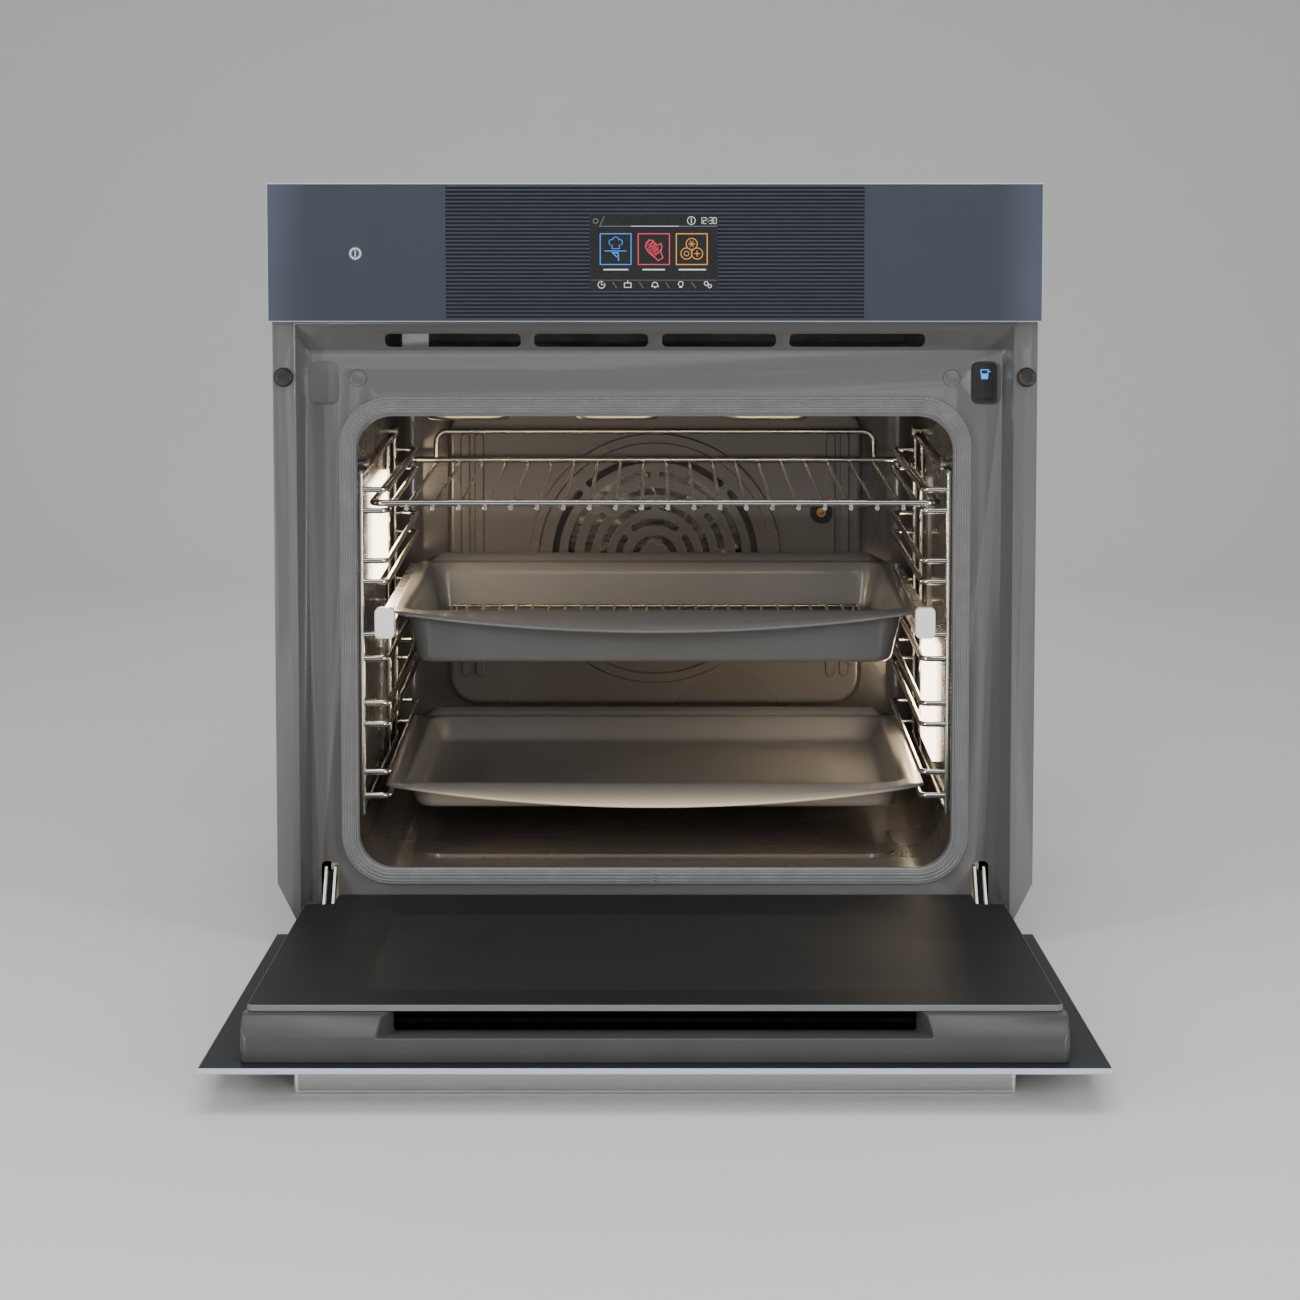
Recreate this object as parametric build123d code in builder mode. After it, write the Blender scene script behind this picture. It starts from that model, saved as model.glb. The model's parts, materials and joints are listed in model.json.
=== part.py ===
"""Built-in wall oven with its drop-down door open.

Row frame, millimetres: X to the right, Y to the back, Z up.  The origin lies on the underside
of the housing, at mid-width, in the plane of the cabinet front (the back of the side flanges).
"""

from build123d import *
import math
import os

os.makedirs("parts", exist_ok=True)

# ---------------------------------------------------------------- driving dimensions
FRONT_WIDTH = 597.0
BODY_WIDTH = 556.0
BODY_HEIGHT = 572.0
BODY_DEPTH = 522.0
FACE_Y = -26.0
GLASS = 4.0
SHEET = 1.5

PANEL_BOTTOM = 480.4
PANEL_TOP = 587.0

FRAME_WIDTH = 595.0
FLANGE_T = 2.0
RECESS_FRONT_HALF = 279.4
RECESS_BACK_HALF = 272.4
RECESS_Y = 22.0
RECESS_T = 2.0
BAND_TOP = 477.0
BAND_BOTTOM = 455.6
FRAME_BOTTOM = 3.0
FRAME_TOP = 570.0
COLUMN_FOOT = 36.0
COLUMN_FOOT_HALF = 281.0

MOUTH_HALF = 234.3
MOUTH_LOW = 44.2
MOUTH_HIGH = 403.8
MOUTH_R = 28.0
GASKET_W = 13.0
GASKET_T = 8.5

CAVITY_HALF = 235.5
CAVITY_LOW = 43.0
CAVITY_HIGH = 408.0
CAVITY_FRONT = RECESS_Y + RECESS_T
CAVITY_BACK = 458.0
CAVITY_R = 29.0
CAVITY_BACK_R = 24.0

FAN_Z = 243.0
FAN_COVER_Y = 422.0
FAN_COVER_HALF = 187.0
FAN_COVER_LOW = 110.0
FAN_COVER_HIGH = 382.0

POST_X = 232.7
RUNNER_X = 212.0
POST_R = 2.4
RUNNER_R = 2.2
POST_YS = (35.0, 313.0, 391.0)
# lower and upper guide wire of each level, from the bottom level up
LEVELS = ((99.2, 118.3), (156.7, 173.5), (209.4, 228.6), (271.0, 287.8), (327.7, 344.5))
RUNNER_BEND = 7.0
RAIL_OVERHANG = 2.0
RACK_LOW = 86.0
RACK_HIGH = 357.0

SHELF_Z = 333.5
DEEP_RIM = 243.2
DEEP_DEPTH = 45.0
BAKING_RIM = 103.0
BAKING_DEPTH = 23.0
TRAY_T = 1.2
TRAY_FRONT = 67.0
TRAY_BACK = 405.0
TRAY_WALL_HALF = 201.0
LIP_BULGE = 33.0
FLANGE_W = 8.0
TRAY_R = 22.0
UPSTAND = 8.0
UPSTAND_INSET = 12.0

RAIL_LOW = 231.2
RAIL_HIGH = 241.7
RAIL_INNER = 205.5
RAIL_OUTER = 219.5
RAIL_FRONT = 33.0
RAIL_BACK = 403.0

HINGE_Y = -12.3
HINGE_Z = 6.0
HINGE_X = 257.5
DOOR_OPEN = 87.4
DOOR_LOW = -4.0
DOOR_HIGH = 476.0
INNER_GLASS_HALF = 270.0
INNER_GLASS_Y = 8.8
INNER_GLASS_LOW = 15.8
INNER_GLASS_HIGH = 442.0
PIN_R = 3.0
PIN_FIT = 0.05

ROTOR_Y = 330.0
ROTOR_Z = 490.0
ROTOR_R = 28.0
ROTOR_HALF = 95.0

FIXING_X = 289.0
FIXING_Z = 436.0
FIXING_R = 2.75

SIDES = ((-1, "left"), (1, "right"))
HINGE_AXIS = Axis((0, HINGE_Y, HINGE_Z), (1, 0, 0))


# ---------------------------------------------------------------- shared shapes
def facing(y):
    """Sketch plane across the oven at depth y; X right, Z up. Extrude by -t to go back by t."""
    return Plane.XZ.offset(-y)


def slab(x, y, z, mode=Mode.ADD):
    """Box between the two values of each of x, y and z."""
    with Locations(((x[0] + x[1]) / 2, (y[0] + y[1]) / 2, (z[0] + z[1]) / 2)):
        Box(x[1] - x[0], y[1] - y[0], z[1] - z[0], mode=mode)


def rod(start, end, radius, mode=Mode.ADD):
    """Round bar from start to end."""
    run = Vector(*end) - Vector(*start)
    with BuildSketch(Plane(origin=start, z_dir=run)) as section:
        Circle(radius)
    extrude(section.sketch, amount=run.length, mode=mode)


def wire(points, radius, bend):
    """Bent round wire through points, with the inside of each bend at radius bend."""
    with BuildLine() as path:
        FilletPolyline(*points, radius=bend)
    with BuildSketch(Plane(origin=path.line @ 0, z_dir=path.line % 0)) as section:
        Circle(radius)
    sweep(section.sketch, path=path.line)


def rounded_rect(half, low, high, radius, mode=Mode.ADD):
    """Rounded rectangle sketch, symmetric about X = 0, from low to high."""
    with Locations((0, (low + high) / 2)):
        RectangleRounded(2 * half, high - low, radius, mode=mode)


def across(side, low, high):
    """X range from low to high on one side of the oven."""
    return sorted((side * low, side * high))


def swing_open(builder):
    """Turn a door piece drawn in the closed position about the hinge pins to the open stop."""
    builder.part = builder.part.rotate(HINGE_AXIS, DOOR_OPEN)


# ---------------------------------------------------------------- housing
half_body = BODY_WIDTH / 2
SKIN = 1.2
CUT = 20.0
SIDE_FRONT = 16.0
COVER_FRONT = 2.0
BASE_SLOT = (90.0, 8.0)
BASE_SLOT_MID_Y = 260.0
BASE_SLOT_PITCH_X = 180.0
BASE_SLOT_PITCH_Y = 110.0
LOUVRE_Y = 270.0
LOUVRE_Z = 520.0
LOUVRE_PITCH = 40.0
LOUVRE = (20.0, 5.0)

with BuildPart() as base_plate:
    slab((-half_body, half_body), (-FLANGE_T, BODY_DEPTH), (0, SHEET))
    with Locations((0, BASE_SLOT_MID_Y, 0)):
        with GridLocations(BASE_SLOT_PITCH_X, BASE_SLOT_PITCH_Y, 2, 3):
            Box(*BASE_SLOT, CUT, mode=Mode.SUBTRACT)
base_plate.part.label = "base_plate"
export_step(base_plate.part, "parts/base_plate.step")

with BuildPart() as side_panels:
    for side in (-1, 1):
        slab(across(side, half_body - SKIN, half_body), (SIDE_FRONT, BODY_DEPTH - SKIN),
             (SHEET, BODY_HEIGHT - SKIN))
        with Locations((side * half_body, LOUVRE_Y, LOUVRE_Z)):
            with GridLocations(0, LOUVRE_PITCH, 1, 5):
                Box(CUT, *LOUVRE, mode=Mode.SUBTRACT)
side_panels.part.label = "side_panels"
export_step(side_panels.part, "parts/side_panels.step")

TOP_SLOT_X = 120.0
TOP_SLOT_Y = 400.0
TOP_SLOT_PITCH = 16.0
TOP_SLOT = (110.0, 6.0)
with BuildPart() as top_cover:
    slab((-half_body, half_body), (COVER_FRONT, BODY_DEPTH), (BODY_HEIGHT - SKIN, BODY_HEIGHT))
    with Locations((-TOP_SLOT_X, TOP_SLOT_Y, BODY_HEIGHT), (TOP_SLOT_X, TOP_SLOT_Y, BODY_HEIGHT)):
        with GridLocations(0, TOP_SLOT_PITCH, 1, 6):
            Box(*TOP_SLOT, CUT / 2, mode=Mode.SUBTRACT)
top_cover.part.label = "top_cover"
export_step(top_cover.part, "parts/top_cover.step")

GLAND_X = 190.0
GLAND_Z = 525.0
GLAND_R = 9.0
GLAND_BORE_R = 5.0
GLAND_REACH = 8.0
GLAND_COLLAR = (4.0, 3.0)
REAR_VENT_R = 48.0
REAR_VENT = (26.0, 6.0)
REAR_SLOT = (150.0, 6.0)
REAR_SLOT_AT = (-120.0, 500.0)
REAR_SLOT_PITCH = 14.0
TERMINAL_HALF = (30.0, 14.0)
TERMINAL_Y = (480.0, 508.0)
CLAMP_PITCH = 11.0
CLAMP_R = 3.5
with BuildPart() as rear_cover:
    slab((-half_body, half_body), (BODY_DEPTH - SKIN, BODY_DEPTH), (SHEET, BODY_HEIGHT - SKIN))
    with BuildSketch(facing(BODY_DEPTH - CUT / 2)):
        with Locations((0, FAN_Z)):
            with PolarLocations(REAR_VENT_R, 16):
                SlotOverall(*REAR_VENT)
        with Locations(REAR_SLOT_AT):
            with GridLocations(0, REAR_SLOT_PITCH, 1, 5):
                SlotOverall(*REAR_SLOT)
        with Locations((GLAND_X, GLAND_Z)):
            Circle(GLAND_R)
    extrude(amount=-CUT, mode=Mode.SUBTRACT)
rear_cover.part.label = "rear_cover"
export_step(rear_cover.part, "parts/rear_cover.step")

with BuildPart() as cable_gland:
    inner_end, outer_end = BODY_DEPTH - GLAND_REACH, BODY_DEPTH + GLAND_REACH
    collar_grow, collar_t = GLAND_COLLAR
    rod((GLAND_X, inner_end, GLAND_Z), (GLAND_X, outer_end, GLAND_Z), GLAND_R)
    rod((GLAND_X, BODY_DEPTH, GLAND_Z), (GLAND_X, BODY_DEPTH + collar_t, GLAND_Z), GLAND_R + collar_grow)
    rod((GLAND_X, inner_end - 1, GLAND_Z), (GLAND_X, outer_end + 1, GLAND_Z), GLAND_BORE_R,
        mode=Mode.SUBTRACT)
cable_gland.part.label = "cable_gland"
export_step(cable_gland.part, "parts/cable_gland.step")

with BuildPart() as terminal_block:
    half_x, half_z = TERMINAL_HALF
    slab((GLAND_X - half_x, GLAND_X + half_x), TERMINAL_Y, (GLAND_Z - half_z, GLAND_Z + half_z))
    with Locations((GLAND_X, sum(TERMINAL_Y) / 2, GLAND_Z + half_z)):
        with GridLocations(CLAMP_PITCH, 0, 5, 1):
            Cylinder(CLAMP_R, half_z + 2, mode=Mode.SUBTRACT)
terminal_block.part.label = "terminal_block"
export_step(terminal_block.part, "parts/terminal_block.step")

SUPPORT_X = 200.0
SUPPORT_YS = (60.0, 440.0)
SUPPORT_HALF = (12.0, 25.0)
SUPPORT_TOP = 11.5
with BuildPart() as cavity_supports:
    half_x, half_y = SUPPORT_HALF
    for x in (-SUPPORT_X, SUPPORT_X):
        for y in SUPPORT_YS:
            slab((x - half_x, x + half_x), (y - half_y, y + half_y), (SHEET, SUPPORT_TOP))
cavity_supports.part.label = "cavity_supports"
export_step(cavity_supports.part, "parts/cavity_supports.step")

# ---------------------------------------------------------------- front frame
VENT_Z = 464.0
VENT_H = 11.0
VENTS = ((-158, 106), (-50, 89), (50, 89), (158, 106))
HINGE_SLOT = (251.5, 265.0)
HINGE_SLOT_TOP = 49.0
POCKET = ((247.8, 271.8), (413.0, 447.0))
POCKET_DEPTH = 4.0
POCKET_R = 7.0
POCKET_WALL = 1.5
DIMPLE_X = 233.0
DIMPLE_Z = 434.0
DIMPLE_R = 7.0
DIMPLE_EYE_R = 4.0
DIMPLE_RISE = 1.4
WINDOW_Z = 525.0
WINDOW = (420.0, 70.0)
SLOT_R = 4.0
RECESS_BELOW = 10.0


def recess_loft(grow, back_y, mode):
    """Tapered block that fills the recess behind the door, grown by grow at sides and top."""
    with BuildSketch(facing(-FLANGE_T - 0.01)) as front:
        half = RECESS_FRONT_HALF + grow
        with Locations((0, (BAND_TOP + grow + FRAME_BOTTOM - RECESS_BELOW) / 2)):
            Rectangle(2 * half, BAND_TOP + grow - FRAME_BOTTOM + RECESS_BELOW)
    with BuildSketch(facing(back_y)) as back:
        half = RECESS_BACK_HALF + grow
        with Locations((0, (BAND_BOTTOM + grow + FRAME_BOTTOM - RECESS_BELOW) / 2)):
            Rectangle(2 * half, BAND_BOTTOM + grow - FRAME_BOTTOM + RECESS_BELOW)
    loft([front.sketch, back.sketch], mode=mode)


with BuildPart() as front_frame:
    recess_loft(SKIN, CAVITY_FRONT, Mode.ADD)
    half_frame = FRAME_WIDTH / 2
    slab((-half_frame, half_frame), (-CUT, 2 * CUT), (-CUT, FRAME_BOTTOM), mode=Mode.SUBTRACT)
    with BuildSketch(facing(-FLANGE_T)):
        with BuildLine():
            Polyline(
                (-half_frame, FRAME_TOP), (half_frame, FRAME_TOP), (half_frame, COLUMN_FOOT),
                (COLUMN_FOOT_HALF, FRAME_BOTTOM), (-COLUMN_FOOT_HALF, FRAME_BOTTOM),
                (-half_frame, COLUMN_FOOT), close=True,
            )
        make_face()
    extrude(amount=-FLANGE_T)
    for side in (-1, 1):
        slab(across(side, POCKET[0][0] - POCKET_WALL, POCKET[0][1] + POCKET_WALL),
             (CAVITY_FRONT - 1, CAVITY_FRONT + POCKET_DEPTH),
             (POCKET[1][0] - POCKET_WALL, POCKET[1][1] + POCKET_WALL))
    recess_loft(0, RECESS_Y, Mode.SUBTRACT)
    for side in (-1, 1):
        centre_x = side * (POCKET[0][0] + POCKET[0][1]) / 2
        with BuildSketch(facing(RECESS_Y - 1)):
            with Locations((centre_x, (POCKET[1][0] + POCKET[1][1]) / 2)):
                RectangleRounded(POCKET[0][1] - POCKET[0][0], POCKET[1][1] - POCKET[1][0], POCKET_R)
        extrude(amount=-POCKET_DEPTH - 1, mode=Mode.SUBTRACT)
        with BuildSketch(facing(RECESS_Y + 0.1)):
            with Locations((side * DIMPLE_X, DIMPLE_Z)):
                Circle(DIMPLE_R)
        extrude(amount=DIMPLE_RISE, taper=25)
        with BuildSketch(facing(RECESS_Y - 0.5)):
            with Locations((side * DIMPLE_X, DIMPLE_Z)):
                Circle(DIMPLE_EYE_R)
        extrude(amount=DIMPLE_RISE, mode=Mode.SUBTRACT)
        slot_x = side * (HINGE_SLOT[0] + HINGE_SLOT[1]) / 2
        with BuildSketch(facing(RECESS_Y - 1)):
            with Locations((slot_x, HINGE_SLOT_TOP / 2 + SLOT_R)):
                RectangleRounded(HINGE_SLOT[1] - HINGE_SLOT[0], HINGE_SLOT_TOP - 2 * SLOT_R, SLOT_R)
        extrude(amount=-RECESS_T - 2, mode=Mode.SUBTRACT)
        with BuildSketch(facing(-FLANGE_T - 1)):
            with Locations((side * FIXING_X, FIXING_Z)):
                Circle(FIXING_R)
        extrude(amount=-FLANGE_T - 2, mode=Mode.SUBTRACT)
    with BuildSketch(facing(RECESS_Y - 1)):
        rounded_rect(MOUTH_HALF, MOUTH_LOW, MOUTH_HIGH, MOUTH_R)
    extrude(amount=-RECESS_T - 2, mode=Mode.SUBTRACT)
    with BuildSketch(facing(-FLANGE_T - 1)):
        for x, width in VENTS:
            with Locations((x, VENT_Z)):
                RectangleRounded(width, VENT_H, SLOT_R)
    extrude(amount=-1.5 * CUT, mode=Mode.SUBTRACT)
    with BuildSketch(facing(-FLANGE_T - 1)):
        with Locations((0, WINDOW_Z)):
            RectangleRounded(*WINDOW, POCKET_R)
    extrude(amount=-CUT / 2, mode=Mode.SUBTRACT)
front_frame.part.label = "front_frame"
export_step(front_frame.part, "parts/front_frame.step")

PLUG_R = 8.0
PLUG_H = 4.5
PLUG_HOLE = (4.5, 3.0)
with BuildPart() as screw_plugs:
    for side in (-1, 1):
        with BuildSketch(facing(-FLANGE_T)):
            with Locations((side * FIXING_X, FIXING_Z)):
                Circle(PLUG_R)
        extrude(amount=PLUG_H, taper=24)
        with BuildSketch(facing(-FLANGE_T)):
            with Locations((side * FIXING_X, FIXING_Z)):
                Circle(PLUG_HOLE[0])
        extrude(amount=PLUG_HOLE[1], mode=Mode.SUBTRACT)
screw_plugs.part.label = "screw_plugs"
export_step(screw_plugs.part, "parts/screw_plugs.step")

INLET = (19.0, 31.0)
INLET_WELL = (13.0, 16.0)
INLET_DROP = 5.0
with BuildPart() as water_inlet:
    port_x = sum(POCKET[0]) / 2 - 1
    port_z = sum(POCKET[1]) / 2
    with BuildSketch(facing(RECESS_Y - 1.0)):
        with Locations((port_x, port_z)):
            RectangleRounded(*INLET, 3)
    extrude(amount=-POCKET_DEPTH - 0.8)
    with BuildSketch(facing(RECESS_Y - 2)):
        with Locations((port_x, port_z - INLET_DROP)):
            RectangleRounded(*INLET_WELL, 2)
    extrude(amount=-3, mode=Mode.SUBTRACT)
water_inlet.part.label = "water_inlet"
export_step(water_inlet.part, "parts/water_inlet.step")

GASKET_HALF = MOUTH_HALF + 1.2
GASKET_LOW = MOUTH_LOW - 0.4
GASKET_HIGH = MOUTH_HIGH + 2.0
GASKET_R = 27.0
GASKET_EDGE = 3.5
with BuildPart() as door_gasket:
    with BuildSketch(facing(RECESS_Y)):
        rounded_rect(GASKET_HALF + GASKET_W, GASKET_LOW - GASKET_W, GASKET_HIGH + GASKET_W,
                     GASKET_R + GASKET_W)
        rounded_rect(GASKET_HALF, GASKET_LOW, GASKET_HIGH, GASKET_R, mode=Mode.SUBTRACT)
    extrude(amount=GASKET_T)
    fillet(door_gasket.faces().sort_by(Axis.Y)[0].edges(), radius=GASKET_EDGE)
door_gasket.part.label = "door_gasket"
export_step(door_gasket.part, "parts/door_gasket.step")

# ---------------------------------------------------------------- cavity and what is fixed in it
LENS_Y = (174.0, 304.0)
LENS_Z = {-1: (251.0, 335.0), 1: (101.0, 200.0)}
RING_HEATER_R = 98.0
RING_HEATER_Y = 444.0
HEATER_R = 3.3
HEATER_END_Y = 478.0
TERMINAL_X = 20.0
TERMINAL_Z = FAN_Z + math.sqrt(RING_HEATER_R ** 2 - TERMINAL_X ** 2)
RIM_HALF = 245.0
RIM_Z = (34.0, 412.0)
RIM_R = 38.0
FLOOR_FIELD = (392.0, 310.0)
FLOOR_FIELD_Y = 225.0
FLOOR_FIELD_R = 30.0
LAMP_LAP = 4.0
SHAFT_HOLE_R = 7.0

with BuildPart() as cavity_liner:
    with BuildSketch(facing(CAVITY_FRONT)):
        rounded_rect(CAVITY_HALF + SHEET, CAVITY_LOW - SHEET, CAVITY_HIGH + SHEET, CAVITY_R + SHEET)
    extrude(amount=-(CAVITY_BACK + SHEET - CAVITY_FRONT))
    fillet(cavity_liner.faces().sort_by(Axis.Y)[-1].edges(), radius=CAVITY_BACK_R + SHEET)
    with BuildSketch(facing(CAVITY_FRONT)):
        rounded_rect(RIM_HALF, *RIM_Z, RIM_R)
    extrude(amount=-SHEET)
    with BuildPart(mode=Mode.SUBTRACT) as hollow:
        with BuildSketch(facing(CAVITY_FRONT - 1)):
            rounded_rect(CAVITY_HALF, CAVITY_LOW, CAVITY_HIGH, CAVITY_R)
        extrude(amount=-(CAVITY_BACK - CAVITY_FRONT + 1))
        fillet(hollow.faces().sort_by(Axis.Y)[-1].edges(), radius=CAVITY_BACK_R)
    # pressed field of the floor, raised by one sheet
    with BuildSketch(Plane.XY.offset(CAVITY_LOW)):
        with Locations((0, FLOOR_FIELD_Y)):
            RectangleRounded(*FLOOR_FIELD, FLOOR_FIELD_R)
    extrude(amount=SHEET)
    for side in (-1, 1):
        low, high = LENS_Z[side]
        slab(across(side, CAVITY_HALF - LAMP_LAP, CAVITY_HALF + LAMP_LAP),
             (LENS_Y[0] + LAMP_LAP, LENS_Y[1] - LAMP_LAP), (low + LAMP_LAP, high - LAMP_LAP),
             mode=Mode.SUBTRACT)
    through = (CAVITY_BACK - 4, CAVITY_BACK + 4)
    rod((0, through[0], FAN_Z), (0, through[1], FAN_Z), SHAFT_HOLE_R, mode=Mode.SUBTRACT)
    for x in (-TERMINAL_X, TERMINAL_X):
        rod((x, through[0], TERMINAL_Z), (x, through[1], TERMINAL_Z), HEATER_R + 1, mode=Mode.SUBTRACT)
cavity_liner.part.label = "cavity_liner"
export_step(cavity_liner.part, "parts/cavity_liner.step")

with BuildPart() as lamp_lenses:
    for side, (low, high) in LENS_Z.items():
        slab(sorted((side * (CAVITY_HALF - 0.3), side * (CAVITY_HALF - 3.3))), LENS_Y, (low, high))
    fillet(lamp_lenses.edges().filter_by(Axis.X), radius=5)
lamp_lenses.part.label = "lamp_lenses"
export_step(lamp_lenses.part, "parts/lamp_lenses.step")

LAMP_DEPTH = 26.0
LAMP_WALL = 2.0
with BuildPart() as lamp_housings:
    for side, (low, high) in LENS_Z.items():
        reach = across(side, CAVITY_HALF + SHEET + 0.2, CAVITY_HALF + LAMP_DEPTH)
        hollow_reach = across(side, CAVITY_HALF + SHEET, CAVITY_HALF + LAMP_DEPTH - LAMP_WALL)
        rim = LAMP_LAP - LAMP_WALL
        slab(reach, (LENS_Y[0] + rim, LENS_Y[1] - rim), (low + rim, high - rim))
        slab(hollow_reach, (LENS_Y[0] + LAMP_LAP, LENS_Y[1] - LAMP_LAP), (low + LAMP_LAP, high - LAMP_LAP),
             mode=Mode.SUBTRACT)
lamp_housings.part.label = "lamp_housings"
export_step(lamp_housings.part, "parts/lamp_housings.step")

BULB_R = 6.0
BULB_BASE_R = 9.0
BULB_BASE = 26.0
with BuildPart() as lamp_bulbs:
    for side, (low, high) in LENS_Z.items():
        bulb_x = side * (CAVITY_HALF + LAMP_DEPTH / 2)
        bulb_z = (low + high) / 2
        socket_y = LENS_Y[1] - LAMP_LAP - 0.2
        rod((bulb_x, LENS_Y[0] + 2 * BULB_R, bulb_z), (bulb_x, socket_y - BULB_BASE, bulb_z), BULB_R)
        rod((bulb_x, socket_y - BULB_BASE, bulb_z), (bulb_x, socket_y, bulb_z), BULB_BASE_R)
lamp_bulbs.part.label = "lamp_bulbs"
export_step(lamp_bulbs.part, "parts/lamp_bulbs.step")

SLOT_RADII = (18, 33, 47, 61, 76, 90)
SLOT_W = 6.0
BRIDGE = 7.0
SLOT_END_R = 2.5
COVER_R = 26.0
COVER_EDGE = 5.0
RING = (104.0, 114.0)
PRESS_H = 2.4
RIB = (222.0, 9.0)
RIB_XS = (-171.0, -158.5, 158.5, 171.0)
OUTLET = (14.0, 70.0)
OUTLET_Y = 441.0
OUTLET_ZS = (200.0, 300.0)
PROBE = (150.0, 285.0)
PROBE_HOLE_R = 9.5
with BuildPart() as fan_cover:
    with BuildSketch(facing(FAN_COVER_Y)):
        rounded_rect(FAN_COVER_HALF, FAN_COVER_LOW, FAN_COVER_HIGH, COVER_R)
    extrude(amount=-(CAVITY_BACK - 0.2 - FAN_COVER_Y))
    fillet(fan_cover.faces().sort_by(Axis.Y)[0].edges(), radius=COVER_EDGE)
    with BuildSketch(facing(FAN_COVER_Y + SHEET)):
        rounded_rect(FAN_COVER_HALF - SHEET, FAN_COVER_LOW + SHEET, FAN_COVER_HIGH - SHEET, COVER_R - SHEET)
    extrude(amount=-3 * CUT, mode=Mode.SUBTRACT)
    # raised ring round the suction grille
    with BuildSketch(facing(FAN_COVER_Y + 0.2)):
        with Locations((0, FAN_Z)):
            Circle(RING[1])
            Circle(RING[0], mode=Mode.SUBTRACT)
    extrude(amount=PRESS_H, taper=30)
    # suction grille: round slots broken by bridges, laid out from the outermost inwards
    with BuildSketch(facing(FAN_COVER_Y - CUT / 2)) as grille:
        with Locations((0, FAN_Z)):
            for radius in reversed(SLOT_RADII):
                Circle(radius + SLOT_W / 2)
                Circle(radius - SLOT_W / 2, mode=Mode.SUBTRACT)
            for n, radius in enumerate(SLOT_RADII):
                turns = 2 if n == 0 else 4
                with PolarLocations(radius, turns, start_angle=45 * (n % 2)):
                    Rectangle(2 * SLOT_W, BRIDGE, mode=Mode.SUBTRACT)
        fillet(grille.vertices(), radius=SLOT_END_R)
    extrude(amount=-CUT, mode=Mode.SUBTRACT)
    for x in RIB_XS:
        with BuildSketch(facing(FAN_COVER_Y + 0.2)):
            with Locations((x, (FAN_COVER_LOW + FAN_COVER_HIGH) / 2)):
                SlotOverall(*RIB, rotation=90)
        extrude(amount=PRESS_H, taper=25)
    rod((PROBE[0], FAN_COVER_Y - 5, PROBE[1]), (PROBE[0], FAN_COVER_Y + 5, PROBE[1]), PROBE_HOLE_R,
        mode=Mode.SUBTRACT)
    # hot-air outlets in the two side walls
    for z in OUTLET_ZS:
        with Locations((0, OUTLET_Y, z)):
            Box(2 * FAN_COVER_HALF + CUT, *OUTLET, mode=Mode.SUBTRACT)
fan_cover.part.label = "fan_cover"
export_step(fan_cover.part, "parts/fan_cover.step")



def probe_rod(front, back, radius, mode=Mode.ADD):
    """Round bar on the probe socket's axis; front and back are measured from the fan cover."""
    rod((PROBE[0], FAN_COVER_Y + front, PROBE[1]), (PROBE[0], FAN_COVER_Y + back, PROBE[1]), radius,
        mode=mode)


PROBE_COLLAR_R = 10.0
PROBE_NECK_R = 9.2
PROBE_BORE_R = 4.2
with BuildPart() as probe_socket:
    probe_rod(-4, -2.4, PROBE_COLLAR_R)
    probe_rod(-3, 24, PROBE_NECK_R)
    probe_rod(-5, 20, PROBE_BORE_R, mode=Mode.SUBTRACT)
probe_socket.part.label = "probe_socket"
export_step(probe_socket.part, "parts/probe_socket.step")

CONTACT_BORE_R = 2.6
with BuildPart() as probe_contact:
    probe_rod(-3.5, 19.8, PROBE_BORE_R - 0.1)
    probe_rod(-4, 16, CONTACT_BORE_R, mode=Mode.SUBTRACT)
probe_contact.part.label = "probe_contact"
export_step(probe_contact.part, "parts/probe_contact.step")

with BuildPart() as ring_heater:
    with Locations(Location((0, RING_HEATER_Y, FAN_Z), (90, 0, 0))):
        Torus(RING_HEATER_R, HEATER_R)
    for x in (-TERMINAL_X, TERMINAL_X):
        rod((x, RING_HEATER_Y, TERMINAL_Z), (x, HEATER_END_Y, TERMINAL_Z), HEATER_R - 0.2)
ring_heater.part.label = "ring_heater"
export_step(ring_heater.part, "parts/ring_heater.step")

GRILL_Z = 400.0
GRILL_HALF = 180.0
GRILL_PITCH = 60.0
GRILL_Y = (70.0, 330.0)
GRILL_END_Y = 400.0
GRILL_BEND = 14.0
with BuildPart() as grill_heater:
    corners = []
    for n in range(7):
        x = -GRILL_HALF + GRILL_PITCH * n
        ends = ((x, GRILL_Y[0], GRILL_Z), (x, GRILL_Y[1], GRILL_Z))
        corners.extend(ends if n % 2 else reversed(ends))
    tails = [(side * GRILL_HALF, GRILL_END_Y, GRILL_Z) for side in (-1, 1)]
    wire([tails[0]] + corners[1:-1] + [tails[1]], HEATER_R, GRILL_BEND)
grill_heater.part.label = "grill_heater"
export_step(grill_heater.part, "parts/grill_heater.step")

BOTTOM_Z = 36.2
BOTTOM_HALF = 190.0
BOTTOM_Y = (80.0, 420.0)
BOTTOM_TAIL = (20.0, 470.0)
BOTTOM_BEND = 18.0
with BuildPart() as bottom_heater:
    half_loop = [(BOTTOM_TAIL[0], BOTTOM_TAIL[1], BOTTOM_Z), (BOTTOM_TAIL[0], BOTTOM_Y[1], BOTTOM_Z),
                 (BOTTOM_HALF, BOTTOM_Y[1], BOTTOM_Z), (BOTTOM_HALF, BOTTOM_Y[0], BOTTOM_Z)]
    mirrored = [(-x, y, z) for x, y, z in half_loop]
    wire(mirrored + half_loop[::-1], HEATER_R, BOTTOM_BEND)
bottom_heater.part.label = "bottom_heater"
export_step(bottom_heater.part, "parts/bottom_heater.step")

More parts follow.
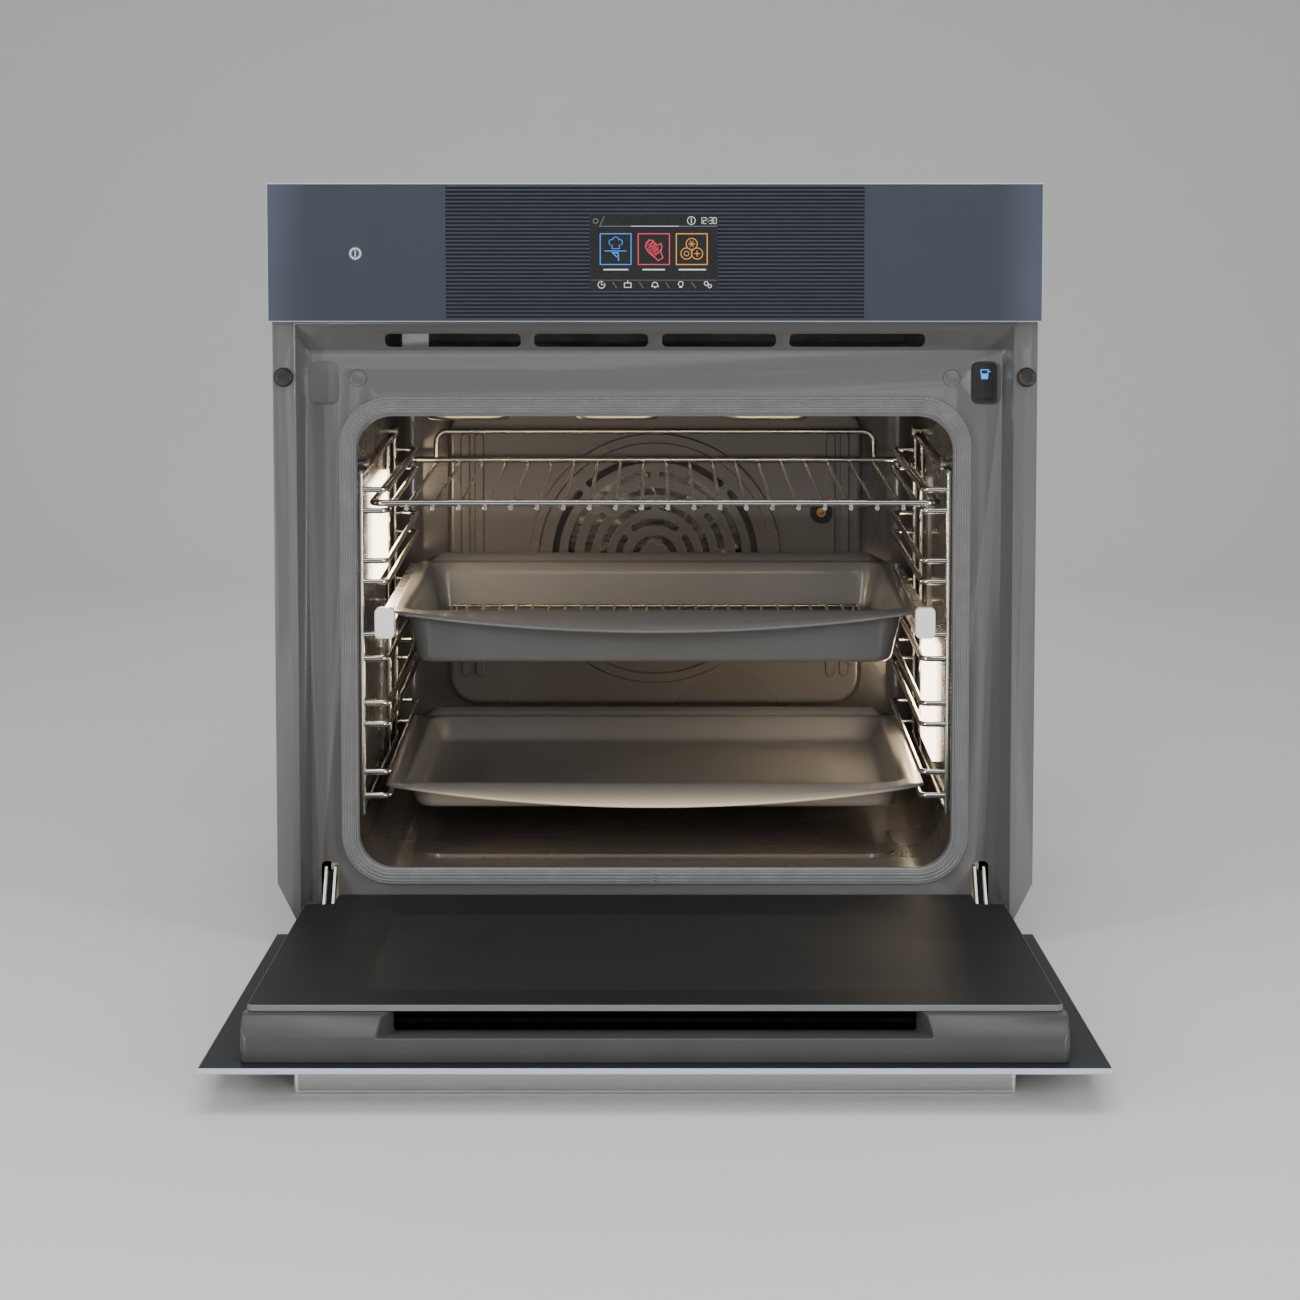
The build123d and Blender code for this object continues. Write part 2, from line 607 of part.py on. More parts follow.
WOOL_HALF = 258.0
WOOL_Y = (30.0, 490.0)
WOOL_Z = (12.0, 431.0)
WOOL_INNER_HALF = 238.5
WOOL_INNER_BACK = 461.5
WOOL_INNER_Z = (28.0, 411.5)
MOTOR_WELL_R = 60.0
TAIL_WELL_HALF = 26.0
TAIL_WELLS = ((330.0, 350.0), (28.0, 44.0))
with BuildPart() as insulation:
    behind = (WOOL_INNER_BACK - CUT, WOOL_Y[1] + CUT)
    slab((-WOOL_HALF, WOOL_HALF), WOOL_Y, WOOL_Z)
    slab((-WOOL_INNER_HALF, WOOL_INNER_HALF), (WOOL_Y[0] - 1, WOOL_INNER_BACK), WOOL_INNER_Z,
         mode=Mode.SUBTRACT)
    rod((0, behind[0], FAN_Z), (0, behind[1], FAN_Z), MOTOR_WELL_R, mode=Mode.SUBTRACT)
    for well in TAIL_WELLS:
        slab((-TAIL_WELL_HALF, TAIL_WELL_HALF), behind, well, mode=Mode.SUBTRACT)
    for side in (-1, 1):
        low, high = LENS_Z[side]
        slab(across(side, CAVITY_HALF, WOOL_HALF + 4), (LENS_Y[0] - 2, LENS_Y[1] + 2),
             (low - 2, high + 2), mode=Mode.SUBTRACT)
insulation.part.label = "insulation"
export_step(insulation.part, "parts/insulation.step")

# ---------------------------------------------------------------- convection fan
SHAFT_R = 4.0
SHAFT_Y = (432.0, 505.0)
MOTOR_PLATE_Y = (463.0, 466.0)
MOTOR_PLATE_R = 52.0
MOTOR_R = 36.0
MOTOR_BACK = 512.0
IMPELLER_DISC_Y = (452.0, 453.2)
IMPELLER_R = 78.0
HUB_R = 11.0
HUB_FRONT = 436.0
BLADE_RING_R = 58.0
BLADE = (38.0, 1.5)
BLADE_DEPTH = 18.0


def fan_rod(front, back, radius, mode=Mode.ADD):
    """Round bar on the convection fan's axis between two depths."""
    rod((0, front, FAN_Z), (0, back, FAN_Z), radius, mode=mode)


with BuildPart() as fan_motor:
    fan_rod(*MOTOR_PLATE_Y, MOTOR_PLATE_R)
    fan_rod(MOTOR_PLATE_Y[1], MOTOR_BACK, MOTOR_R)
    fan_rod(MOTOR_PLATE_Y[0] - 3, SHAFT_Y[1] + 1, SHAFT_R + PIN_FIT, mode=Mode.SUBTRACT)
fan_motor.part.label = "fan_motor"
export_step(fan_motor.part, "parts/fan_motor.step")

with BuildPart() as fan_shaft:
    fan_rod(*SHAFT_Y, SHAFT_R)
fan_shaft.part.label = "fan_shaft"
export_step(fan_shaft.part, "parts/fan_shaft.step")

with BuildPart() as fan_impeller:
    fan_rod(*IMPELLER_DISC_Y, IMPELLER_R)
    fan_rod(HUB_FRONT, IMPELLER_DISC_Y[1] - 0.2, HUB_R)
    fan_rod(SHAFT_Y[0] - 2, IMPELLER_DISC_Y[1] + 3, SHAFT_R + 0.02, mode=Mode.SUBTRACT)
    with BuildSketch(facing(IMPELLER_DISC_Y[0] + 0.2)):
        with Locations((0, FAN_Z)):
            with PolarLocations(BLADE_RING_R, 12):
                Rectangle(*BLADE, rotation=25)
    extrude(amount=BLADE_DEPTH)
fan_impeller.part.label = "fan_impeller"
export_step(fan_impeller.part, "parts/fan_impeller.step")

# ---------------------------------------------------------------- side racks
for side, hand in SIDES:
    with BuildPart() as side_rack:
        post_x = side * POST_X
        for y in POST_YS:
            rod((post_x, y, RACK_LOW), (post_x, y, RACK_HIGH), POST_R)
        for z in (RACK_LOW, RACK_HIGH):
            rod((post_x, POST_YS[0] - RAIL_OVERHANG, z), (post_x, POST_YS[-1] + RAIL_OVERHANG, z), POST_R)
        for level in LEVELS:
            for z in level:
                wire([(post_x, POST_YS[0], z), (side * RUNNER_X, POST_YS[0], z),
                      (side * RUNNER_X, POST_YS[-1], z), (post_x, POST_YS[-1], z)],
                     RUNNER_R, RUNNER_BEND)
    side_rack.part.label = f"side_rack_{hand}"
    export_step(side_rack.part, f"parts/side_rack_{hand}.step")

STUD_YS = (60.0, 370.0)
STUD_R = 3.2
STUD_HEAD_R = 5.0
STUD_NECK_X = POST_X - 3.0
STUD_Z = RACK_HIGH + 6.2
with BuildPart() as rack_studs:
    for side in (-1, 1):
        for y in STUD_YS:
            rod((side * (CAVITY_HALF - 0.1), y, STUD_Z), (side * STUD_NECK_X, y, STUD_Z), STUD_R)
            rod((side * STUD_NECK_X, y, STUD_Z), (side * (STUD_NECK_X - 2), y, STUD_Z), STUD_HEAD_R)
rack_studs.part.label = "rack_studs"
export_step(rack_studs.part, "parts/rack_studs.step")

# ---------------------------------------------------------------- wire shelf
BAR_R = 2.75
SHELF_WIRE_R = 1.7
SHELF_HALF = 224.0
SHELF_FRONT = 38.0
SHELF_BACK = 413.0
SHELF_WIRES = 20
SHELF_PITCH = 20.7
SHELF_BEND = 10.0
SHELF_JOIN = 190.0
WIRE_OVERHANG = 3.5
with BuildPart() as wire_shelf:
    for side in (-1, 1):
        wire([(side * SHELF_JOIN, SHELF_FRONT, SHELF_Z), (side * SHELF_HALF, SHELF_FRONT, SHELF_Z),
              (side * SHELF_HALF, SHELF_BACK, SHELF_Z), (0, SHELF_BACK, SHELF_Z)], BAR_R, SHELF_BEND)
    rod((-SHELF_JOIN - 1, SHELF_FRONT, SHELF_Z), (SHELF_JOIN + 1, SHELF_FRONT, SHELF_Z), BAR_R)
    hang_z = SHELF_Z - BAR_R - SHELF_WIRE_R + 0.6
    for n in range(SHELF_WIRES):
        x = (n - (SHELF_WIRES - 1) / 2) * SHELF_PITCH
        rod((x, SHELF_FRONT - WIRE_OVERHANG, hang_z), (x, SHELF_BACK + WIRE_OVERHANG, hang_z), SHELF_WIRE_R)
wire_shelf.part.label = "wire_shelf"
export_step(wire_shelf.part, "parts/wire_shelf.step")

# raised wire welded on the back bar, which keeps dishes off the rear wall
STOP_HALF = 196.5
STOP_Z = 359.0
STOP_R = 2.4
STOP_BEND = 10.0
with BuildPart() as shelf_stop:
    foot_z = SHELF_Z + BAR_R
    wire([(-STOP_HALF, SHELF_BACK, foot_z), (-STOP_HALF, SHELF_BACK, STOP_Z),
          (STOP_HALF, SHELF_BACK, STOP_Z), (STOP_HALF, SHELF_BACK, foot_z)], STOP_R, STOP_BEND)
shelf_stop.part.label = "shelf_stop"
export_step(shelf_stop.part, "parts/shelf_stop.step")


# ---------------------------------------------------------------- trays
def tray_body(rim, depth, slope, flange_half, upstand):
    """Pressed tray: sloping walls, a flange all round and a front lip that bulges forward."""
    floor_half = TRAY_WALL_HALF - slope
    front, back = TRAY_FRONT + FLANGE_W, TRAY_BACK - FLANGE_W
    bottom = rim - depth
    with BuildSketch(Plane.XY.offset(rim)) as outer_rim:
        with Locations((0, (front + back) / 2)):
            RectangleRounded(2 * TRAY_WALL_HALF, back - front, TRAY_R)
    with BuildSketch(Plane.XY.offset(bottom)) as outer_floor:
        with Locations((0, (front + back) / 2)):
            RectangleRounded(2 * floor_half, back - front - 2 * slope, TRAY_R - 4)
    loft([outer_rim.sketch, outer_floor.sketch])
    with BuildSketch(Plane.XY.offset(rim - TRAY_T)) as flange:
        with BuildLine():
            Line((flange_half, TRAY_FRONT), (flange_half, TRAY_BACK))
            Line((flange_half, TRAY_BACK), (-flange_half, TRAY_BACK))
            Line((-flange_half, TRAY_BACK), (-flange_half, TRAY_FRONT))
            ThreePointArc((-flange_half, TRAY_FRONT), (0, TRAY_FRONT - LIP_BULGE), (flange_half, TRAY_FRONT))
        make_face()
    extrude(flange.sketch, amount=TRAY_T)
    with BuildSketch(Plane.XY.offset(rim + 0.01)) as inner_rim:
        with Locations((0, (front + back) / 2)):
            RectangleRounded(2 * (TRAY_WALL_HALF - TRAY_T), back - front - 2 * TRAY_T, TRAY_R - 1)
    with BuildSketch(Plane.XY.offset(bottom + TRAY_T)) as inner_floor:
        with Locations((0, (front + back) / 2)):
            RectangleRounded(2 * (floor_half - TRAY_T), back - front - 2 * slope - 2 * TRAY_T, TRAY_R - 5)
    loft([inner_rim.sketch, inner_floor.sketch], mode=Mode.SUBTRACT)
    slab((-flange_half + UPSTAND_INSET, flange_half - UPSTAND_INSET),
         (TRAY_BACK - 2 * TRAY_T, TRAY_BACK), (rim - TRAY_T / 2, rim + upstand))


with BuildPart() as deep_tray:
    tray_body(DEEP_RIM, DEEP_DEPTH, slope=9.0, flange_half=212.0, upstand=UPSTAND)
deep_tray.part.label = "deep_tray"
export_step(deep_tray.part, "parts/deep_tray.step")

with BuildPart() as baking_tray:
    tray_body(BAKING_RIM, BAKING_DEPTH, slope=6.0, flange_half=217.0, upstand=UPSTAND)
baking_tray.part.label = "baking_tray"
export_step(baking_tray.part, "parts/baking_tray.step")

INSERT_Z = 209.0
INSERT_WIRES = 26
INSERT_PITCH = 14.4
INSERT_FRONT = 96.0
INSERT_BACK = 378.0
INSERT_R = 1.2
CROSS_R = 1.8
CROSS_YS = (INSERT_FRONT + 6.0, 187.0, 287.0, INSERT_BACK - 6.0)
FOOT_INSET = 3.0
with BuildPart() as tray_insert:
    half = (INSERT_WIRES - 1) / 2 * INSERT_PITCH
    cross_z = INSERT_Z - CROSS_R - INSERT_R + 0.4
    for n in range(INSERT_WIRES):
        x = -half + n * INSERT_PITCH
        rod((x, INSERT_FRONT, INSERT_Z), (x, INSERT_BACK, INSERT_Z), INSERT_R)
    for y in CROSS_YS:
        rod((-half - FOOT_INSET, y, cross_z), (half + FOOT_INSET, y, cross_z), CROSS_R)
    for x in (-half + FOOT_INSET, half - FOOT_INSET):
        for y in (CROSS_YS[0], CROSS_YS[-1]):
            rod((x, y, DEEP_RIM - DEEP_DEPTH + TRAY_T + 0.4), (x, y, cross_z + 0.2), CROSS_R)
tray_insert.part.label = "tray_insert"
export_step(tray_insert.part, "parts/tray_insert.step")

# ---------------------------------------------------------------- telescopic rails
RAIL_WALL = 1.2
RAIL_FIXED_TOP = 235.8
RAIL_MOVING_LOW = 236.4
RAIL_MIDDLE_Z = (232.8, 240.1)
RAIL_MIDDLE_INSET = 1.6
CLIP_XS = ((207.0, 208.6), (215.4, 217.0))
CLIP_YS = (80.0, 350.0)
CLIP_HALF = 7.0
CLIP_LOW = 225.0
with BuildPart() as rails_fixed:
    for side in (-1, 1):
        slab(across(side, RAIL_INNER, RAIL_OUTER), (RAIL_FRONT, RAIL_BACK), (RAIL_LOW, RAIL_FIXED_TOP))
        slab(across(side, RAIL_INNER + RAIL_WALL, RAIL_OUTER - RAIL_WALL), (RAIL_FRONT - 1, RAIL_BACK + 1),
             (RAIL_LOW + RAIL_WALL, RAIL_HIGH), mode=Mode.SUBTRACT)
        # clips that hook over the upper guide wire of the level
        for y in CLIP_YS:
            for low_x, high_x in CLIP_XS:
                slab(across(side, low_x, high_x), (y - CLIP_HALF, y + CLIP_HALF), (CLIP_LOW, RAIL_LOW + 0.5))
rails_fixed.part.label = "rails_fixed"
export_step(rails_fixed.part, "parts/rails_fixed.step")

with BuildPart() as rails_middle:
    for side in (-1, 1):
        slab(across(side, RAIL_INNER + RAIL_MIDDLE_INSET, RAIL_OUTER - RAIL_MIDDLE_INSET),
             (RAIL_FRONT, RAIL_BACK - 4), RAIL_MIDDLE_Z)
rails_middle.part.label = "rails_middle"
export_step(rails_middle.part, "parts/rails_middle.step")

with BuildPart() as rails_moving:
    for side in (-1, 1):
        slab(across(side, RAIL_INNER, RAIL_OUTER), (RAIL_FRONT - 1.8, RAIL_BACK - 8),
             (RAIL_MOVING_LOW, RAIL_HIGH))
        slab(across(side, RAIL_INNER + RAIL_WALL, RAIL_OUTER - RAIL_WALL), (RAIL_FRONT - 0.5, RAIL_BACK),
             (RAIL_MOVING_LOW - 1, RAIL_HIGH - RAIL_WALL), mode=Mode.SUBTRACT)
rails_moving.part.label = "rails_moving"
export_step(rails_moving.part, "parts/rails_moving.step")

CAP_AT = (213.8, 239.4)
CAP = (15.6, 24.4)
CAP_R = 4.0
CAP_Y = (22.0, 31.0)
CAP_EDGE = 1.2
with BuildPart() as rail_caps:
    for side in (-1, 1):
        with BuildSketch(facing(CAP_Y[0])):
            with Locations((side * CAP_AT[0], CAP_AT[1])):
                RectangleRounded(*CAP, CAP_R)
        extrude(amount=CAP_Y[0] - CAP_Y[1])
    fillet(rail_caps.faces().filter_by(Axis.Y).group_by(Axis.Y)[0].edges(), radius=CAP_EDGE)
rail_caps.part.label = "rail_caps"
export_step(rail_caps.part, "parts/rail_caps.step")

# ---------------------------------------------------------------- control panel
POWER_X = -230.4
POWER_Z = 533.0
DISPLAY_X = (-50.5, 49.0)
DISPLAY_Z = (505.0, 563.0)
MODULE_BACK = -14.0
CARRIER_HALF = 291.0
CARRIER_BACK = -2.2
CARRIER_FACE_T = 2.5
CARRIER_RIM = 3.0
with BuildPart() as panel_glass:
    slab((-FRONT_WIDTH / 2, FRONT_WIDTH / 2), (FACE_Y, FACE_Y + GLASS), (PANEL_BOTTOM, PANEL_TOP))
    chamfer(panel_glass.faces().sort_by(Axis.Y)[0].edges(), length=0.8)
panel_glass.part.label = "panel_glass"
export_step(panel_glass.part, "parts/panel_glass.step")

with BuildPart() as panel_carrier:
    slab((-CARRIER_HALF, CARRIER_HALF), (FACE_Y + GLASS, CARRIER_BACK), (PANEL_BOTTOM + 3, PANEL_TOP - 4))
    slab((-CARRIER_HALF + CARRIER_RIM, CARRIER_HALF - CARRIER_RIM), (FACE_Y + GLASS + CARRIER_FACE_T, 0),
         (PANEL_BOTTOM + 3 + CARRIER_RIM, PANEL_TOP - 4 - CARRIER_RIM), mode=Mode.SUBTRACT)
    slab((DISPLAY_X[0] - 1.5, DISPLAY_X[1] + 1.5), (FACE_Y, MODULE_BACK),
         (DISPLAY_Z[0] - 3, DISPLAY_Z[1] + 3), mode=Mode.SUBTRACT)
    rod((POWER_X, FACE_Y, POWER_Z), (POWER_X, MODULE_BACK, POWER_Z), 8, mode=Mode.SUBTRACT)
panel_carrier.part.label = "panel_carrier"
export_step(panel_carrier.part, "parts/panel_carrier.step")

with BuildPart() as display_module:
    slab(DISPLAY_X, (FACE_Y + GLASS + 0.1, MODULE_BACK), DISPLAY_Z)
display_module.part.label = "display_module"
export_step(display_module.part, "parts/display_module.step")

BOARD_T = 1.6
with BuildPart() as power_sensor:
    rod((POWER_X, FACE_Y + GLASS + 0.1, POWER_Z), (POWER_X, MODULE_BACK, POWER_Z), 7)
    slab((POWER_X - 14.5, POWER_X + 14.5), (MODULE_BACK, MODULE_BACK + BOARD_T),
         (POWER_Z - 12, POWER_Z + 12))
power_sensor.part.label = "power_sensor"
export_step(power_sensor.part, "parts/power_sensor.step")

CONTROL_Y = -11.5
with BuildPart() as control_board:
    slab((-90, 90), (CONTROL_Y, CONTROL_Y + BOARD_T), (495, 572))
    slab((-60, -20), (CONTROL_Y + BOARD_T, -4), (510, 530))
    slab((20, 70), (CONTROL_Y + BOARD_T, -5), (540, 560))
control_board.part.label = "control_board"
export_step(control_board.part, "parts/control_board.step")

# ---------------------------------------------------------------- cooling air
DUCT_HALF = 216.0
DUCT_Z = (446.0, 494.0)
DUCT_Y = (27.0, 286.0)
DUCT_PORT = (92.0, 456.0, 484.0)
with BuildPart() as air_duct:
    slab((-DUCT_HALF, DUCT_HALF), DUCT_Y, DUCT_Z)
    slab((-DUCT_HALF + SKIN, DUCT_HALF - SKIN), (DUCT_Y[0] - 1, DUCT_Y[1] - 1),
         (DUCT_Z[0] + SKIN, DUCT_Z[1] - SKIN), mode=Mode.SUBTRACT)
    slab((-DUCT_PORT[0], DUCT_PORT[0]), (DUCT_Y[1] - 5, DUCT_Y[1] + 5), DUCT_PORT[1:], mode=Mode.SUBTRACT)
air_duct.part.label = "air_duct"
export_step(air_duct.part, "parts/air_duct.step")

# small stiffening bracket that stands behind the first outlet
BRACKET_X = (-199.0, -178.0)
BRACKET_Y = (31.0, 33.0)
BRACKET_TOP = 474.0
with BuildPart() as duct_bracket:
    slab(BRACKET_X, BRACKET_Y, (DUCT_Z[0] + SKIN, BRACKET_TOP))
duct_bracket.part.label = "duct_bracket"
export_step(duct_bracket.part, "parts/duct_bracket.step")

HOUSING_HALF = 100.0
HOUSING_Y = (286.2, 372.0)
HOUSING_Z = (446.0, 530.0)
THROAT_HALF = 90.0
OUTLET_Z = (458.0, 482.0)
INTAKE_Z = (ROTOR_Z + 4.0, ROTOR_Z + 22.0)
with BuildPart() as blower_housing:
    bore_half = HOUSING_HALF - 2
    slab((-HOUSING_HALF, HOUSING_HALF), HOUSING_Y, HOUSING_Z)
    rod((-bore_half, ROTOR_Y, ROTOR_Z), (bore_half, ROTOR_Y, ROTOR_Z), ROTOR_R + 4, mode=Mode.SUBTRACT)
    slab((-THROAT_HALF, THROAT_HALF), (HOUSING_Y[0] - 5, ROTOR_Y), OUTLET_Z, mode=Mode.SUBTRACT)
    slab((-THROAT_HALF, THROAT_HALF), (ROTOR_Y, HOUSING_Y[1] + 5), INTAKE_Z, mode=Mode.SUBTRACT)
    rod((bore_half - 2, ROTOR_Y, ROTOR_Z), (HOUSING_HALF + 4, ROTOR_Y, ROTOR_Z), 8, mode=Mode.SUBTRACT)
blower_housing.part.label = "blower_housing"
export_step(blower_housing.part, "parts/blower_housing.step")

BLADES = 20
ROTOR_DISC_T = 2.0
ROTOR_BLADE = (8.0, 0.9)
SPINDLE_R = 3.0
SPINDLE_END = 125.0
MOTOR_X = (108.0, 150.0)
MOTOR_HALF = 28.0
with BuildPart() as blower_rotor:
    for x in (-ROTOR_HALF, 0, ROTOR_HALF - ROTOR_DISC_T):
        rod((x, ROTOR_Y, ROTOR_Z), (x + ROTOR_DISC_T, ROTOR_Y, ROTOR_Z), ROTOR_R)
    with BuildSketch(Plane.YZ.offset(-ROTOR_HALF)):
        with Locations((ROTOR_Y, ROTOR_Z)):
            with PolarLocations(ROTOR_R - 5, BLADES):
                Rectangle(*ROTOR_BLADE, rotation=35)
    extrude(amount=2 * ROTOR_HALF)
    rod((ROTOR_HALF - 1, ROTOR_Y, ROTOR_Z), (SPINDLE_END, ROTOR_Y, ROTOR_Z), SPINDLE_R)
blower_rotor.part.label = "blower_rotor"
export_step(blower_rotor.part, "parts/blower_rotor.step")

with BuildPart() as blower_motor:
    slab(MOTOR_X, (ROTOR_Y - MOTOR_HALF, ROTOR_Y + MOTOR_HALF), (ROTOR_Z - MOTOR_HALF, ROTOR_Z + MOTOR_HALF))
    rod((MOTOR_X[0] - 8, ROTOR_Y, ROTOR_Z), (SPINDLE_END + 1, ROTOR_Y, ROTOR_Z), SPINDLE_R + PIN_FIT,
        mode=Mode.SUBTRACT)
    slab((MOTOR_X[0] + 12, MOTOR_X[1] - 12), (ROTOR_Y - MOTOR_HALF - 2, ROTOR_Y + MOTOR_HALF + 2),
         (ROTOR_Z + MOTOR_HALF / 2, ROTOR_Z + MOTOR_HALF + 2), mode=Mode.SUBTRACT)
blower_motor.part.label = "blower_motor"
export_step(blower_motor.part, "parts/blower_motor.step")

POWER_BOARD_X = (-230.0, -130.0)
POWER_BOARD_Y = (330.0, 450.0)
POWER_BOARD_Z = 500.0
POST_INSET = 5.0
with BuildPart() as power_board:
    board_top = POWER_BOARD_Z + BOARD_T
    slab(POWER_BOARD_X, POWER_BOARD_Y, (POWER_BOARD_Z, board_top))
    # transformer and relay
    slab((-220, -180), (350, 400), (board_top, 530))
    slab((-170, -140), (350, 375), (board_top, 520))
    for x in (POWER_BOARD_X[0] + POST_INSET, POWER_BOARD_X[1] - POST_INSET):
        for y in (POWER_BOARD_Y[0] + POST_INSET, POWER_BOARD_Y[1] - POST_INSET):
            rod((x, y, WOOL_Z[1] + 0.2), (x, y, POWER_BOARD_Z), 3)
power_board.part.label = "power_board"
export_step(power_board.part, "parts/power_board.step")

# ---------------------------------------------------------------- door, drawn closed
with BuildPart() as door_outer_glass:
    slab((-FRONT_WIDTH / 2, FRONT_WIDTH / 2), (FACE_Y, FACE_Y + GLASS), (DOOR_LOW, DOOR_HIGH))
    chamfer(door_outer_glass.faces().filter_by(Axis.Y).edges(), length=0.6)
swing_open(door_outer_glass)
door_outer_glass.part.label = "door_outer_glass"
export_step(door_outer_glass.part, "parts/door_outer_glass.step")

GLASS_BACK = FACE_Y + GLASS
GLASS_NOTCH = (22.0, 43.0)
with BuildPart() as door_inner_glass:
    with BuildSketch(facing(INNER_GLASS_Y)):
        with BuildLine():
            top, low = INNER_GLASS_HIGH, INNER_GLASS_LOW
            half = INNER_GLASS_HALF
            inner = half - GLASS_NOTCH[0]
            step = low + GLASS_NOTCH[1]
            FilletPolyline(
                (-half, top), (half, top), (half, step), (inner, step), (inner, low),
                (-inner, low), (-inner, step), (-half, step), radius=5, close=True,
            )
        make_face()
    extrude(amount=-GLASS)
    chamfer(door_inner_glass.faces().sort_by(Axis.Y)[-1].edges(), length=0.6)
swing_open(door_inner_glass)
door_inner_glass.part.label = "door_inner_glass"
export_step(door_inner_glass.part, "parts/door_inner_glass.step")

PANE_HALF = 247.0
PANE_T = 3.0
PANE_YS = (-12.0, -2.0)
PANE_Z = (26.0, 428.0)
with BuildPart() as door_middle_panes:
    for y in PANE_YS:
        slab((-PANE_HALF, PANE_HALF), (y, y + PANE_T), PANE_Z)
swing_open(door_middle_panes)
door_middle_panes.part.label = "door_middle_panes"
export_step(door_middle_panes.part, "parts/door_middle_panes.step")

TOP_HALF = 272.5
TOP_Z = (432.0, 461.0)
LIP_Y = -5.6
CHANNEL_HALF = 186.0
with BuildPart() as door_top_profile:
    with BuildSketch(Plane.YZ):
        with BuildLine():
            Polyline((GLASS_BACK, TOP_Z[1]), (LIP_Y, TOP_Z[1]), (LIP_Y, TOP_Z[1] - 5),
                     (LIP_Y - 5, TOP_Z[1] - 5), (LIP_Y - 5, TOP_Z[0]), (GLASS_BACK, TOP_Z[0]), close=True)
        make_face()
    extrude(amount=TOP_HALF, both=True)
    with BuildSketch(Plane.YZ):
        with BuildLine():
            Polyline((LIP_Y - 6, TOP_Z[1]), (LIP_Y, TOP_Z[1]), (INNER_GLASS_Y - 2, TOP_Z[1] - 10),
                     (INNER_GLASS_Y - 0.4, TOP_Z[1] - 15), (INNER_GLASS_Y - 0.4, TOP_Z[0]),
                     (LIP_Y - 6, TOP_Z[0]), close=True)
        make_face()
    extrude(amount=TOP_HALF, both=True)
    with BuildSketch(facing(LIP_Y)):
        with Locations((0, sum(TOP_Z) / 2 + 1.5)):
            Trapezoid(2 * CHANNEL_HALF, 2 * CUT, 70, rotation=180)
    extrude(amount=-CUT, mode=Mode.SUBTRACT)
    fillet(door_top_profile.edges().filter_by(Axis.Y).group_by(Axis.X)[0], radius=5)
    fillet(door_top_profile.edges().filter_by(Axis.Y).group_by(Axis.X)[-1], radius=5)
swing_open(door_top_profile)
door_top_profile.part.label = "door_top_profile"
export_step(door_top_profile.part, "parts/door_top_profile.step")

BOTTOM_PROFILE_HALF = 248.0
BOTTOM_PROFILE_Z = (4.0, 22.0)
PROFILE_WALL = 2.0
with BuildPart() as door_bottom_profile:
    slab((-BOTTOM_PROFILE_HALF, BOTTOM_PROFILE_HALF), (GLASS_BACK, INNER_GLASS_Y - 0.2), BOTTOM_PROFILE_Z)
    slab((-BOTTOM_PROFILE_HALF + PROFILE_WALL, BOTTOM_PROFILE_HALF - PROFILE_WALL),
         (GLASS_BACK + PROFILE_WALL, INNER_GLASS_Y - PROFILE_WALL),
         (BOTTOM_PROFILE_Z[0] - 1, BOTTOM_PROFILE_Z[1] - PROFILE_WALL), mode=Mode.SUBTRACT)
swing_open(door_bottom_profile)
door_bottom_profile.part.label = "door_bottom_profile"
export_step(door_bottom_profile.part, "parts/door_bottom_profile.step")

SIDE_PROFILE_X = (266.5, 271.5)
SIDE_PROFILE_Z = (20.0, 431.5)
with BuildPart() as door_side_profiles:
    for side in (-1, 1):
        slab(across(side, SIDE_PROFILE_X[0], SIDE_PROFILE_X[1]), (GLASS_BACK, INNER_GLASS_Y - 0.2),
             SIDE_PROFILE_Z)
        slab(across(side, SIDE_PROFILE_X[0] - 1.5, SIDE_PROFILE_X[1] - 1.5),
             (GLASS_BACK + 1.5, INNER_GLASS_Y - 1.7), (SIDE_PROFILE_Z[0] - 1, SIDE_PROFILE_Z[1] + 1),
             mode=Mode.SUBTRACT)
swing_open(door_side_profiles)
door_side_profiles.part.label = "door_side_profiles"
export_step(door_side_profiles.part, "parts/door_side_profiles.step")

CHANNEL = (250.0, 265.0)
CHANNEL_TOP = 150.0
ARM_HALF = 4.5
CHEEK_T = 1.8
with BuildPart() as hinge_channels:
    for side in (-1, 1):
        reach = across(side, *CHANNEL)
        inside = across(side, CHANNEL[0] + 1.5, CHANNEL[1] - 1.5)
        slab(reach, (GLASS_BACK + 0.2, -2), (0.5, CHANNEL_TOP))
        slab(inside, (GLASS_BACK + 1.7, 0), (-5, CHANNEL_TOP + 5), mode=Mode.SUBTRACT)
        rod((side * (CHANNEL[0] - 5), HINGE_Y, HINGE_Z), (side * (CHANNEL[1] + 5), HINGE_Y, HINGE_Z),
            PIN_R + PIN_FIT, mode=Mode.SUBTRACT)
        slab(reach, (-8, 0), (-2, 1.6), mode=Mode.SUBTRACT)
swing_open(hinge_channels)
hinge_channels.part.label = "hinge_channels"
export_step(hinge_channels.part, "parts/hinge_channels.step")

DAMPER_Y = -12.0
DAMPER_Z = (45.0, 60.0, 125.0)
DAMPER_R = 4.6
DAMPER_ROD_R = 2.0
with BuildPart() as hinge_dampers:
    for side in (-1, 1):
        damper_x = side * HINGE_X
        rod((damper_x, DAMPER_Y, DAMPER_Z[1]), (damper_x, DAMPER_Y, DAMPER_Z[2]), DAMPER_R)
        rod((damper_x, DAMPER_Y, DAMPER_Z[0]), (damper_x, DAMPER_Y, DAMPER_Z[1] + 1), DAMPER_ROD_R)
swing_open(hinge_dampers)
hinge_dampers.part.label = "hinge_dampers"
export_step(hinge_dampers.part, "parts/hinge_dampers.step")

